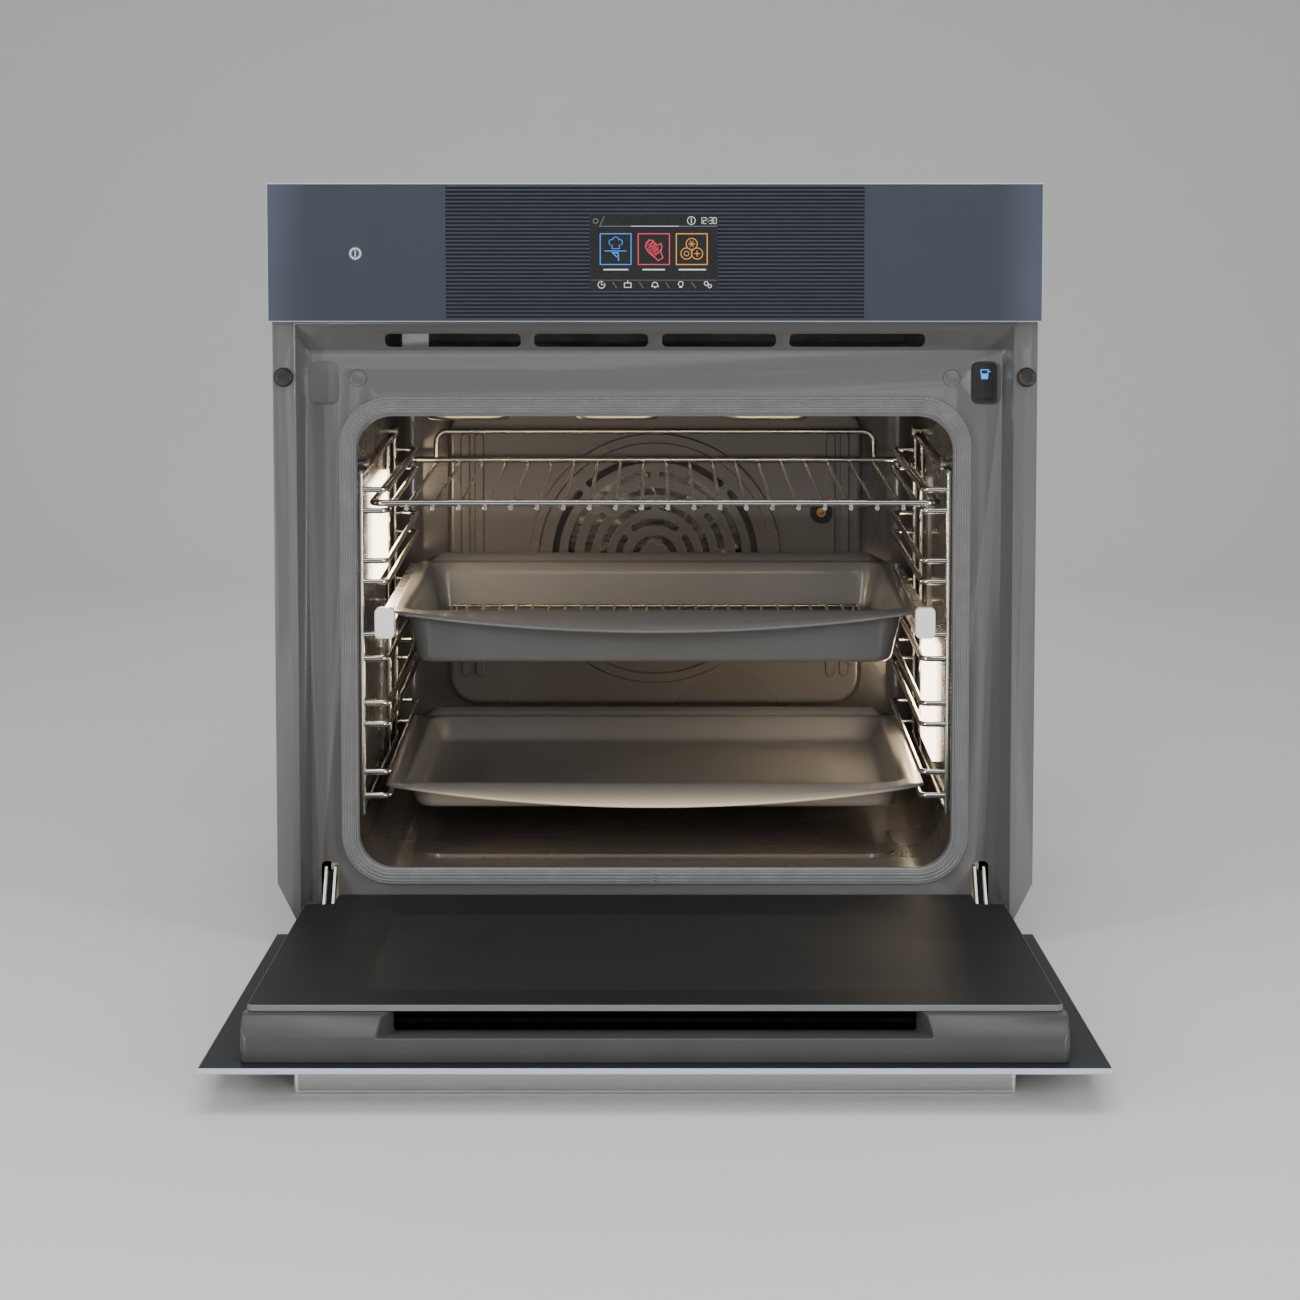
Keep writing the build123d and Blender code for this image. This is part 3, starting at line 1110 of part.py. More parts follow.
with BuildPart() as hinge_arms:
    for side in (-1, 1):
        arm_x = side * HINGE_X
        with BuildSketch(Plane.YZ.offset(arm_x - ARM_HALF)):
            with BuildLine():
                Polyline((HINGE_Y - 1, HINGE_Z + 5.5), (20, 45), (29, 45), (29, 33), (26, 33),
                         (HINGE_Y + 6.5, HINGE_Z - 0.5), (HINGE_Y + 2, HINGE_Z - 4),
                         (HINGE_Y - 5, HINGE_Z - 2), close=True)
            make_face()
        extrude(amount=2 * ARM_HALF)
        # open groove along the upper side, which leaves two cheeks and a floor
        with BuildSketch(Plane.YZ.offset(arm_x - ARM_HALF + CHEEK_T)):
            with BuildLine():
                Polyline((-6, 20), (20, 50), (60, 50), (60, 41), (24, 41), (-3, 13), close=True)
            make_face()
        extrude(amount=2 * (ARM_HALF - CHEEK_T), mode=Mode.SUBTRACT)
        rod((arm_x - 6, HINGE_Y, HINGE_Z), (arm_x + 6, HINGE_Y, HINGE_Z), PIN_R + 0.02, mode=Mode.SUBTRACT)
hinge_arms.part.label = "hinge_arms"
export_step(hinge_arms.part, "parts/hinge_arms.step")

with BuildPart() as hinge_pins:
    for side in (-1, 1):
        rod((side * (CHANNEL[0] - 1.5), HINGE_Y, HINGE_Z), (side * (CHANNEL[1] + 1.2), HINGE_Y, HINGE_Z),
            PIN_R)
hinge_pins.part.label = "hinge_pins"
export_step(hinge_pins.part, "parts/hinge_pins.step")

HANDLE_HALF = 240.5
HANDLE_Y = FACE_Y - 22.0
HANDLE_Z = (406.0, 431.0)
HANDLE_T = 2.4
HANDLE_CORNER = 4.0
BRACKET_XS = (-210.0, 0.0, 210.0)
BRACKET_HALF = 9.0
BRACKET_LOW = 418.0
with BuildPart() as door_handle:
    slab((-HANDLE_HALF, HANDLE_HALF), (HANDLE_Y, FACE_Y - 0.6), HANDLE_Z)
    fillet(door_handle.edges().filter_by(Axis.Y).group_by(Axis.Z)[-1], radius=HANDLE_CORNER)
    slab((-HANDLE_HALF + HANDLE_T, HANDLE_HALF - HANDLE_T), (HANDLE_Y + HANDLE_T, FACE_Y + 1),
         (HANDLE_Z[0] - 1, HANDLE_Z[1] - HANDLE_T), mode=Mode.SUBTRACT)
swing_open(door_handle)
door_handle.part.label = "door_handle"
export_step(door_handle.part, "parts/door_handle.step")

with BuildPart() as handle_brackets:
    for x in BRACKET_XS:
        slab((x - BRACKET_HALF, x + BRACKET_HALF), (HANDLE_Y + HANDLE_T, FACE_Y - 0.1),
             (BRACKET_LOW, HANDLE_Z[1] - HANDLE_T))
swing_open(handle_brackets)
handle_brackets.part.label = "handle_brackets"
export_step(handle_brackets.part, "parts/handle_brackets.step")
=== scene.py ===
"""Looks of the wall oven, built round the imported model. Metres, in the row frame."""
import json
import math

import bmesh
import bpy
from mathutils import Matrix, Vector


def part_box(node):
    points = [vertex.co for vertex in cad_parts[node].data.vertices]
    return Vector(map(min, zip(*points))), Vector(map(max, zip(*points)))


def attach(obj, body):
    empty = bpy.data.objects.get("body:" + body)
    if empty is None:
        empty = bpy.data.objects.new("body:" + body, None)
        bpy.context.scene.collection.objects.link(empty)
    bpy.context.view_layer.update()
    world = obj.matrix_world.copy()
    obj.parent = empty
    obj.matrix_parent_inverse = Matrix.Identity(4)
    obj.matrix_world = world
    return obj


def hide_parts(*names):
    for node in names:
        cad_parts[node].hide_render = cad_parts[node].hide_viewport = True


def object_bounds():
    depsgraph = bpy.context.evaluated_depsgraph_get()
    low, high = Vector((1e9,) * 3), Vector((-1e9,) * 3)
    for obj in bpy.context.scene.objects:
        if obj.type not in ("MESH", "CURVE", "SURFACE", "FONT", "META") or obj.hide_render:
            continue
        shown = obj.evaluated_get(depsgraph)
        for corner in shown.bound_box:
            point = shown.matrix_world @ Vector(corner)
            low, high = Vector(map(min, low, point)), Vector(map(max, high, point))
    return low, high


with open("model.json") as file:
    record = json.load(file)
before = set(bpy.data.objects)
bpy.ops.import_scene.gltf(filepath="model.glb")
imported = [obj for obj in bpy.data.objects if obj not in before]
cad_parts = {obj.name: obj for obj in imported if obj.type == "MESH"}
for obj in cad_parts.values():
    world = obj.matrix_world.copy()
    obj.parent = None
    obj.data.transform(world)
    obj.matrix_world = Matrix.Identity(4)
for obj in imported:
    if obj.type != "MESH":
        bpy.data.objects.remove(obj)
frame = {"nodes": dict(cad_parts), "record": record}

cad_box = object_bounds()
NODES = frame["nodes"]
MM = 0.001


# ---------------------------------------------------------------- shader helpers
class Shader:
    """A Principled material with short calls for the nodes that vary it."""

    def __init__(self, name, color, rough, metal=0.0, **sockets):
        self.mat = bpy.data.materials.new(name)
        self.mat.use_nodes = True
        self.tree = self.mat.node_tree
        self.bsdf = self.tree.nodes["Principled BSDF"]
        self.set("Base Color", (*color, 1.0))
        self.set("Roughness", rough)
        self.set("Metallic", metal)
        for key, value in sockets.items():
            self.set(key.replace("_", " "), value)
        self.coords = self.node("ShaderNodeTexCoord").outputs["Object"]

    def set(self, socket, value):
        self.bsdf.inputs[socket].default_value = value

    def node(self, kind, **settings):
        made = self.tree.nodes.new(kind)
        for key, value in settings.items():
            setattr(made, key, value)
        return made

    def link(self, source, target):
        self.tree.links.new(source, target)

    def scaled(self, scale, source=None):
        mapping = self.node("ShaderNodeMapping")
        mapping.inputs["Scale"].default_value = scale
        self.link(source or self.coords, mapping.inputs["Vector"])
        return mapping.outputs["Vector"]

    def noise(self, scale, detail=3.0, stretch=None, rough=0.55):
        made = self.node("ShaderNodeTexNoise")
        made.inputs["Scale"].default_value = scale
        made.inputs["Detail"].default_value = detail
        made.inputs["Roughness"].default_value = rough
        self.link(self.scaled(stretch) if stretch else self.coords, made.inputs["Vector"])
        return made.outputs["Fac"]

    def math(self, operation, a, b=None, clamp=False):
        made = self.node("ShaderNodeMath", operation=operation, use_clamp=clamp)
        for value, socket in ((a, made.inputs[0]), (b, made.inputs[1])):
            if value is None:
                continue
            if isinstance(value, (int, float)):
                socket.default_value = value
            else:
                self.link(value, socket)
        return made.outputs[0]

    def spread(self, fac, low, high, source_low=0.15, source_high=0.85):
        made = self.node("ShaderNodeMapRange", interpolation_type="SMOOTHSTEP")
        made.inputs["From Min"].default_value = source_low
        made.inputs["From Max"].default_value = source_high
        made.inputs["To Min"].default_value = low
        made.inputs["To Max"].default_value = high
        self.link(fac, made.inputs["Value"])
        return made.outputs["Result"]

    def mix(self, fac, a, b):
        made = self.node("ShaderNodeMix", data_type="RGBA")
        self.link(fac, made.inputs["Factor"])
        for value, socket in ((a, made.inputs["A"]), (b, made.inputs["B"])):
            if isinstance(value, tuple):
                socket.default_value = (*value, 1.0)
            else:
                self.link(value, socket)
        return made.outputs["Result"]

    def axes(self):
        made = self.node("ShaderNodeSeparateXYZ")
        self.link(self.coords, made.inputs[0])
        return made.outputs

    def color(self, source):
        self.link(source, self.bsdf.inputs["Base Color"])

    def rough(self, source):
        self.link(source, self.bsdf.inputs["Roughness"])

    def bump(self, height, strength=0.2, distance=0.001, normal=None):
        made = self.node("ShaderNodeBump")
        made.inputs["Strength"].default_value = strength
        made.inputs["Distance"].default_value = distance
        self.link(height, made.inputs["Height"])
        if normal is not None:
            self.link(normal, made.inputs["Normal"])
        self.link(made.outputs["Normal"], self.bsdf.inputs["Normal"])
        return made.outputs["Normal"]


# ---------------------------------------------------------------- materials
def enamel(name, color, rough, coat=0.55):
    """Glossy vitreous enamel with a faint drift in tone and a soft orange-peel surface."""
    s = Shader(name, color, rough, Coat_Weight=coat, Coat_Roughness=0.1)
    darker = tuple(c * 0.9 for c in color)
    s.color(s.mix(s.spread(s.noise(6, 1.0), 0.0, 1.0), darker, color))
    s.rough(s.spread(s.noise(9, 1.0), rough * 0.93, rough * 1.08))
    s.bump(s.noise(120, 1.0), 0.02, 0.0002)
    return s.mat


def brushed(name, color, rough, stretch, coat=0.0):
    s = Shader(name, color, rough, 1.0, Coat_Weight=coat)
    grain = s.noise(1.0, 4.0, stretch)
    s.color(s.mix(s.spread(grain, 0.0, 1.0), tuple(c * 0.86 for c in color), color))
    s.rough(s.spread(grain, rough * 0.75, rough * 1.3))
    s.bump(grain, 0.12, 0.0002)
    return s.mat


def chrome(name, color, rough):
    s = Shader(name, color, rough, 1.0)
    s.rough(s.spread(s.noise(90), rough * 0.6, rough * 1.6))
    s.color(s.mix(s.spread(s.noise(25), 0.0, 1.0), color, tuple(c * 0.9 for c in color)))
    s.bump(s.noise(700, 1.0), 0.03, 0.0002)
    return s.mat


def galvanised(name):
    s = Shader(name, (0.5, 0.51, 0.52), 0.42, 0.9)
    cells = s.node("ShaderNodeTexVoronoi")
    cells.inputs["Scale"].default_value = 70
    s.link(s.coords, cells.inputs["Vector"])
    tone = s.node("ShaderNodeSeparateColor")
    s.link(cells.outputs["Color"], tone.inputs[0])
    s.color(s.mix(tone.outputs[0], (0.45, 0.46, 0.47), (0.53, 0.54, 0.55)))
    s.rough(s.spread(tone.outputs[1], 0.32, 0.5, 0.0, 1.0))
    s.bump(s.noise(300), 0.06, 0.0003)
    return s.mat


def plastic(name, color, rough, grain=900, strength=0.12, **sockets):
    s = Shader(name, color, rough, **sockets)
    fine = s.noise(grain, 2.0)
    s.color(s.mix(s.spread(s.noise(30), 0.0, 1.0), tuple(c * 0.85 for c in color), color))
    s.rough(s.spread(fine, rough * 0.85, rough * 1.15))
    s.bump(fine, strength, 0.0003)
    return s.mat


def glass_clear(name, tint, rough=0.02):
    s = Shader(name, tint, rough, Transmission_Weight=1.0, IOR=1.5)
    s.rough(s.spread(s.noise(8), rough, rough * 2.5))
    return s.mat


STRIPE_PITCH = 3.0 * MM
STRIPE_HALF = 161.0 * MM
SLATE = (0.030, 0.036, 0.049)
# lighter slate, used as a painted sheen at both ends of the panel
SLATE_END_SHEEN = (0.062, 0.073, 0.097)
POLISHED = (0.36, 0.41, 0.47)


def polished_edges(s, face_axis, paint):
    """Ground and polished rims: faces turned away from the pane's face are paler than its paint."""
    split = s.node("ShaderNodeSeparateXYZ")
    turn = s.node("ShaderNodeVectorTransform", vector_type="NORMAL",
                  convert_from="WORLD", convert_to="OBJECT")
    s.link(s.node("ShaderNodeNewGeometry").outputs["True Normal"], turn.inputs[0])
    s.link(turn.outputs[0], split.inputs[0])
    rim = s.math("LESS_THAN", s.math("ABSOLUTE", split.outputs[face_axis]), 0.92)
    return s.mix(rim, paint, POLISHED)


def panel_glass():
    """Slate-blue back-painted glass; its middle is printed with fine horizontal stripes."""
    low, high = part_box("panel_glass")
    s = Shader("panel_glass_paint", SLATE, 0.42, Specular_IOR_Level=0.25, Coat_Weight=0.1, Coat_Roughness=0.2)
    x, y, z = s.axes()
    side = s.math("ABSOLUTE", x)
    inside = s.math("LESS_THAN", side, STRIPE_HALF)
    above = s.math("GREATER_THAN", z, low.z + 2.2 * MM)
    below = s.math("LESS_THAN", z, high.z - 2.6 * MM)
    within = s.math("MULTIPLY", above, below)
    field = s.math("MULTIPLY", inside, within)
    phase = s.math("FRACT", s.math("DIVIDE", s.math("SUBTRACT", z, low.z), STRIPE_PITCH))
    dark_line = s.math("LESS_THAN", phase, 0.60)
    # painted sheen: over the outer 40 mm at each end the paint lightens towards the edge, made patchy by
    # noise
    paint_with_end_sheen = s.mix(s.spread(side, 0.0, 1.0, 0.26, 0.2985), SLATE, SLATE_END_SHEEN)
    patchy_end_sheen = s.mix(s.spread(s.noise(5), 0.0, 1.0), SLATE, paint_with_end_sheen)
    striped = s.mix(dark_line, (0.030, 0.035, 0.047), (0.005, 0.006, 0.011))
    s.color(polished_edges(s, 1, s.mix(field, patchy_end_sheen, striped)))
    return s.mat


def door_glass():
    s = Shader("door_glass_paint", SLATE, 0.5, Specular_IOR_Level=0.05)
    paint = s.mix(s.spread(s.noise(4), 0.0, 1.0), (0.017, 0.018, 0.020), (0.020, 0.022, 0.026))
    s.color(polished_edges(s, 2, paint))
    return s.mat


def inner_door_glass():
    """Dark coated glass with a slightly lighter field where the window lies."""
    low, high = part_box("door_inner_glass")
    s = Shader("inner_glass", (0.016, 0.016, 0.0165), 0.5, Specular_IOR_Level=0.06)
    x, y, z = s.axes()
    side = s.math("LESS_THAN", s.math("ABSOLUTE", x), 0.196)
    deep = s.math("MULTIPLY", s.math("LESS_THAN", y, high.y - 0.09), s.math("GREATER_THAN", y, low.y + 0.05))
    field = s.math("MULTIPLY", side, deep)
    tone = s.mix(field, (0.0155, 0.0155, 0.016), (0.0215, 0.0215, 0.022))
    split = s.node("ShaderNodeSeparateXYZ")
    s.link(s.node("ShaderNodeNewGeometry").outputs["True Normal"], split.inputs[0])
    rim = s.math("LESS_THAN", s.math("ABSOLUTE", split.outputs[2]), 0.95)
    s.color(s.mix(rim, tone, (0.13, 0.14, 0.145)))
    s.rough(s.spread(s.noise(8, 1.0), 0.48, 0.54))
    return s.mat


def handle_steel():
    """Brushed along its length; the outer rims are painted near-white as a highlight and made smoother."""
    low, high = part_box("door_handle")
    s = Shader("handle_steel", (0.55, 0.55, 0.55), 0.3, 1.0)
    grain = s.noise(1.0, 4.0, (5, 700, 700))
    x, y, z = s.axes()
    ends = s.math("GREATER_THAN", s.math("ABSOLUTE", x), high.x - 2.4 * MM)
    foot = s.math("LESS_THAN", z, low.z + 2.2 * MM)
    rim = s.math("MAXIMUM", ends, foot)
    brushed_tone = s.mix(s.spread(grain, 0.0, 1.0), (0.42, 0.42, 0.42), (0.58, 0.58, 0.58))
    # painted highlight: the ends and the foot of the bar are painted near-white
    s.color(s.mix(rim, brushed_tone, (0.97, 0.97, 0.96)))
    s.rough(s.math("SUBTRACT", s.spread(grain, 0.24, 0.4), s.math("MULTIPLY", rim, 0.16)))
    s.bump(grain, 0.1, 0.0002)
    return s.mat


ARM_HALF = 4.5 * MM
GROOVE_HALF = 2.6 * MM


def hinge_metal():
    """Bright hinge cheeks with an unlit groove between them."""
    low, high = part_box("hinge_arms")
    middle = high.x - ARM_HALF
    s = Shader("hinge_metal", (0.34, 0.34, 0.34), 0.3, 1.0)
    x, y, z = s.axes()
    off = s.math("ABSOLUTE", s.math("SUBTRACT", s.math("ABSOLUTE", x), middle))
    groove = s.math("LESS_THAN", off, GROOVE_HALF)
    grain = s.noise(60, 2.0)
    metal = s.mix(s.spread(grain, 0.0, 1.0), (0.42, 0.42, 0.41), (0.5, 0.5, 0.49))
    s.color(s.mix(groove, metal, (0.006, 0.006, 0.006)))
    s.rough(s.spread(grain, 0.26, 0.36))
    return s.mat


def glowing(name, color, strength, base=(0.02, 0.02, 0.02)):
    s = Shader(name, base, 0.3)
    s.set("Emission Color", (*color, 1.0))
    s.set("Emission Strength", strength)
    s.color(s.mix(s.noise(200), base, tuple(min(1.0, c + 0.02) for c in base)))
    return s.mat


def fibre_rope():
    """Knitted glass-fibre sleeve: rows of small stitches along the rope."""
    s = Shader("seal_fibre", (0.2, 0.205, 0.205), 0.8, Sheen_Weight=0.3)
    uv = s.node("ShaderNodeTexCoord").outputs["UV"]
    split = s.node("ShaderNodeSeparateXYZ")
    s.link(uv, split.inputs[0])
    along, across = split.outputs[0], split.outputs[1]
    shift = s.math("MULTIPLY", s.math("FLOOR", across), 0.5)
    u = s.math("FRACT", s.math("ADD", along, shift))
    v = s.math("FRACT", across)
    du = s.math("ABSOLUTE", s.math("SUBTRACT", u, 0.5))
    dv = s.math("ABSOLUTE", s.math("SUBTRACT", v, 0.5))
    stitch = s.math("SUBTRACT", 1.0, s.math("MULTIPLY", s.math("ADD", du, dv), 1.3), True)
    thread = s.mix(s.spread(s.noise(60), 0.0, 1.0), (0.25, 0.255, 0.255), (0.17, 0.175, 0.175))
    # the gaps between the stitches are painted near-black as shade; the thread tone itself varies at random
    s.color(s.mix(s.spread(stitch, 0.0, 1.0, 0.05, 0.6), (0.05, 0.05, 0.052), thread))
    s.bump(stitch, 0.8, 0.0006)
    return s.mat


M = {
    "frame_enamel": enamel("frame_enamel", (0.098, 0.095, 0.093), 0.22),
    "cavity_enamel": enamel("cavity_enamel", (0.076, 0.069, 0.064), 0.27),
    "tray_enamel": enamel("tray_enamel", (0.105, 0.103, 0.101), 0.34, 0.35),
    "chrome_wire": chrome("chrome_wire", (0.76, 0.74, 0.70), 0.14),
    "steel": brushed("bright_steel", (0.62, 0.62, 0.61), 0.28, (30, 300, 300)),
    "handle_steel": handle_steel(),
    "galvanised": galvanised("galvanised"),
    "hinge_metal": hinge_metal(),
    "blue_glass": panel_glass(),
    "door_glass": door_glass(),
    "black_glass": inner_door_glass(),
    "clear_glass": glass_clear("clear_glass", (0.93, 0.95, 0.94)),
    "dark_moulding": plastic("door_moulding", (0.044, 0.044, 0.044), 0.42, 1200, 0.05),
    "black_plastic": plastic("black_plastic", (0.012, 0.012, 0.013), 0.38),
    "plug_plastic": plastic("plug_plastic", (0.028, 0.026, 0.026), 0.22, 500, 0.02),
    "cap_plastic": plastic("cap_coated", (0.78, 0.77, 0.75), 0.34, 600, 0.02),
    "mineral_wool": plastic("mineral_wool", (0.5, 0.45, 0.3), 0.95, 400, 0.8),
    "heater_sheath": brushed("heater_sheath", (0.16, 0.15, 0.14), 0.4, (200, 200, 200)),
    "circuit_board": plastic("circuit_board", (0.02, 0.12, 0.05), 0.4),
    "motor_metal": brushed("cast_metal", (0.45, 0.45, 0.46), 0.45, (120, 120, 120)),
    "brass_contact": chrome("brass_contact", (0.78, 0.56, 0.24), 0.2),
    "lamp_glass": glowing("lamp_lens", (1.0, 0.80, 0.55), 7.0, (0.8, 0.78, 0.72)),
    "seal_fibre": fibre_rope(),
    "display_glass": plastic("display_face", (0.011, 0.012, 0.013), 0.3, 900, 0.0),
}
BODY_OF = {n: body for body, names in frame["record"]["behaviour"]["bodies"].items() for n in names}
SLOT_OF = {row["node"]: row["material_slot"] for row in frame["record"]["subparts"]}
OWN_LOOK = {"door_outer_glass": "door_glass", "hinge_arms": "hinge_metal"}
for node, slot in SLOT_OF.items():
    NODES[node].data.materials.clear()
    NODES[node].data.materials.append(M[OWN_LOOK.get(node, slot)])


# ---------------------------------------------------------------- mesh helpers
def new_object(name, mesh, material, body, slot=None, replaces=()):
    obj = bpy.data.objects.new(name, mesh)
    bpy.context.scene.collection.objects.link(obj)
    obj.data.materials.append(material)
    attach(obj, body)
    if replaces:
        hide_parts(*replaces)
    return obj


def softened(node, width, segments=2, angle=35.0):
    """The CAD piece with its sheet edges rounded, as pressed and enamelled metal has them."""
    bm = bmesh.new()
    bm.from_mesh(NODES[node].data)
    bmesh.ops.remove_doubles(bm, verts=bm.verts, dist=2e-6)
    bmesh.ops.dissolve_limit(bm, angle_limit=math.radians(0.6), verts=bm.verts, edges=bm.edges)
    mesh = bpy.data.meshes.new(node + "_soft")
    bm.to_mesh(mesh)
    bm.free()
    mesh.polygons.foreach_set("use_smooth", [True] * len(mesh.polygons))
    material = NODES[node].data.materials[0]
    obj = new_object(node + "_soft", mesh, material, BODY_OF[node], SLOT_OF[node], (node,))
    bevel = obj.modifiers.new("edges", "BEVEL")
    bevel.width = width
    bevel.segments = segments
    bevel.limit_method = "ANGLE"
    bevel.angle_limit = math.radians(angle)
    bevel.use_clamp_overlap = True
    bevel.harden_normals = True
    return obj


def eased(node, width):
    """Rounds the edges of a CAD piece in place with modifiers."""
    weld = NODES[node].modifiers.new("weld", "WELD")
    weld.merge_threshold = 2e-6
    bevel = NODES[node].modifiers.new("edges", "BEVEL")
    bevel.width = width
    bevel.segments = 2
    bevel.limit_method = "ANGLE"
    bevel.angle_limit = math.radians(40)
    bevel.harden_normals = True


def rounded_loop(half, low, high, radius, arc_steps, side_steps, top_steps):
    """Closed rounded rectangle in (x, z) with its outward normals, anticlockwise from the right side."""
    points = []
    corners = ((half - radius, high - radius, 0), (-half + radius, high - radius, 90),
               (-half + radius, low + radius, 180), (half - radius, low + radius, 270))
    for n, (cx, cz, start) in enumerate(corners):
        for k in range(arc_steps + 1):
            a = math.radians(start + 90 * k / arc_steps)
            out = (math.cos(a), math.sin(a))
            points.append(((cx + radius * out[0], cz + radius * out[1]), out))
        nx, nz, _ = corners[(n + 1) % 4]
        a = math.radians(start + 90)
        first = Vector((cx + radius * math.cos(a), cz + radius * math.sin(a)))
        last = Vector((nx + radius * math.cos(a), nz + radius * math.sin(a)))
        steps = top_steps if n % 2 == 0 else side_steps
        for k in range(1, steps):
            p = first.lerp(last, k / steps)
            points.append(((p.x, p.y), (math.cos(a), math.sin(a))))
    return points


def grid_mesh(name, rows, closed_u=True, closed_v=False, uv=None, cap=False):
    """Mesh from rows of points; each row joins the next. uv(i, j) gives texture coordinates."""
    bm = bmesh.new()
    layer = bm.loops.layers.uv.new("UVMap") if uv else None
    verts = [[bm.verts.new(p) for p in row] for row in rows]
    nu, nv = len(rows), len(rows[0])
    for i in range(nu if closed_u else nu - 1):
        for j in range(nv if closed_v else nv - 1):
            i2, j2 = (i + 1) % nu, (j + 1) % nv
            face = bm.faces.new((verts[i][j], verts[i2][j], verts[i2][j2], verts[i][j2]))
            face.smooth = True
            if uv:
                for loop, (a, b) in zip(face.loops, ((i, j), (i + 1, j), (i + 1, j + 1), (i, j + 1))):
                    loop[layer].uv = uv(a, b)
    if cap:
        bm.faces.new(verts[-1]).smooth = True
    bmesh.ops.recalc_face_normals(bm, faces=bm.faces)
    mesh = bpy.data.meshes.new(name)
    bm.to_mesh(mesh)
    bm.free()
    return mesh


# ---------------------------------------------------------------- door seal
def door_seal():
    low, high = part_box("door_gasket")
    width = 13 * MM
    thick = high.y - low.y
    radius = 33.5 * MM
    half = high.x - width / 2
    loop = rounded_loop(half, low.z + width / 2, high.z - width / 2, radius, 30, 160, 210)
    across = 36
    ridges = 5
    lengths = [0.0]
    for a, b in zip(loop, loop[1:] + loop[:1]):
        lengths.append(lengths[-1] + math.dist(a[0], b[0]))
    rows = []
    for (x, z), (nx, nz) in loop:
        joint = 1.0 - 0.35 * math.exp(-((x / (1.4 * MM)) ** 2)) if z < 0.1 else 1.0
        row = []
        for j in range(across + 1):
            t = -1 + 2 * j / across
            dome = (1 - abs(t) ** 3.5) ** 0.5
            ridge = 0.45 * MM * math.cos(math.pi * ridges * t) * (1 - t ** 8)
            height = max(0.0, dome * (thick - 0.5 * MM) * joint + ridge * joint)
            row.append((x + nx * t * width / 2, high.y - height, z + nz * t * width / 2))
        rows.append(row)
    pitch = 2.1 * MM
    mesh = grid_mesh("door_seal", rows, uv=lambda i, j: (lengths[i] / pitch, j / across * 10))
    new_object("door_seal_rope", mesh, M["seal_fibre"], "oven", "seal_fibre", ("door_gasket",))


# ---------------------------------------------------------------- pressed trays
LIP_BULGE = 33 * MM
LIP_DIP = 11 * MM
UPSTAND = 8 * MM
WALL_HALF = 201 * MM
FLANGE_W = 8 * MM
TRAY_R = 22 * MM


def ring_points(half, front, back, radius, shape):
    """Loop round a tray from the front left, anticlockwise from above; shape(side, x, y) places each."""
    points = []
    sides = (("front", (-half + radius, front), (half - radius, front), 48),
             ("right", (half, front + radius), (half, back - radius), 14),
             ("back", (half - radius, back), (-half + radius, back), 30),
             ("left", (-half, back - radius), (-half, front + radius), 14))
    centres = ((half - radius, front + radius), (half - radius, back - radius),
               (-half + radius, back - radius), (-half + radius, front + radius))
    for n, (side, start, end, count) in enumerate(sides):
        for k in range(count):
            t = k / count
            x = start[0] + (end[0] - start[0]) * t
            y = start[1] + (end[1] - start[1]) * t
            points.append(shape(side, x, y))
        cx, cy = centres[n]
        for k in range(8):
            a = math.radians(-90 + 90 * n + 90 * k / 8)
            points.append(shape("corner", cx + radius * math.cos(a), cy + radius * math.sin(a)))
    return points


def pressed_tray(node, depth, slope):
    low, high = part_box(node)
    rim = high.z - UPSTAND
    flange_half = high.x
    back = high.y
    front = low.y + LIP_BULGE

    def outer(inset, drop):
        def shape(side, x, y):
            sag = max(0.0, 1 - (x / flange_half) ** 2) if side == "front" else 0.0
            rise = 1.0 if side == "back" and abs(x) < flange_half - 12 * MM else 0.0
            forward = (LIP_BULGE - 0.6 * MM) * sag
            lift = (UPSTAND - 0.7 * MM) * rise - LIP_DIP * sag
            return (x, y - forward, rim - drop + lift)
        return ring_points(flange_half - inset, front + inset, back - inset, 6 * MM, shape)

    def inner(inset, drop):
        return ring_points(WALL_HALF - inset, front + FLANGE_W + inset, back - FLANGE_W - inset,
                           max(TRAY_R - inset, 7 * MM), lambda side, x, y: (x, y, rim - drop))

    def middle(t):
        rows = []
        for a, b in zip(outer(0.8 * MM, 0.6 * MM), inner(-1.6 * MM, 0.6 * MM)):
            at_back = a[2] > rim
            if at_back:
                rows.append((a[0], back - 1.2 * MM - t * 1.5 * MM, rim - 0.6 * MM + (1 - t) * 1.0 * MM))
                continue
            x, y = a[0] + (b[0] - a[0]) * t, a[1] + (b[1] - a[1]) * t
            sag = (rim - 0.6 * MM - a[2]) * (1 - t) ** 1.5
            rows.append((x, y, rim - 0.6 * MM - sag))
        return rows

    rows = [outer(0.2 * MM, 2.4 * MM), outer(0.1 * MM, 1.3 * MM), outer(0.8 * MM, 0.6 * MM),
            middle(0.25), middle(0.55), middle(0.85),
            inner(-1.6 * MM, 0.6 * MM), inner(-0.5 * MM, 1.0 * MM), inner(0.4 * MM, 2.4 * MM)]
    bottom = depth - 0.8 * MM
    for share in (0.25, 0.5, 0.75):
        rows.append(inner(0.4 * MM + slope * share, 2.4 * MM + (bottom - 8.4 * MM) * share))
    for inset, drop in ((0.0, 6.0), (1.4, 2.6), (3.8, 0.8), (7.5, 0.0), (16.0, 0.0), (40.0, 0.0)):
        rows.append(inner(slope + inset * MM, bottom - drop * MM))
    # embossed field of the floor
    for inset, drop in ((43.0, 0.5), (46.0, 1.0), (60.0, 1.0)):
        rows.append(inner(slope + inset * MM, bottom - drop * MM))
    mesh = grid_mesh(node + "_pressed", rows, closed_u=False, closed_v=True, cap=True)
    obj = new_object(node + "_pressed", mesh, M["tray_enamel"], BODY_OF[node], "tray_enamel", (node,))
    sheet = obj.modifiers.new("sheet", "SOLIDIFY")
    sheet.thickness = 1.1 * MM
    sheet.offset = 0.0
    return obj


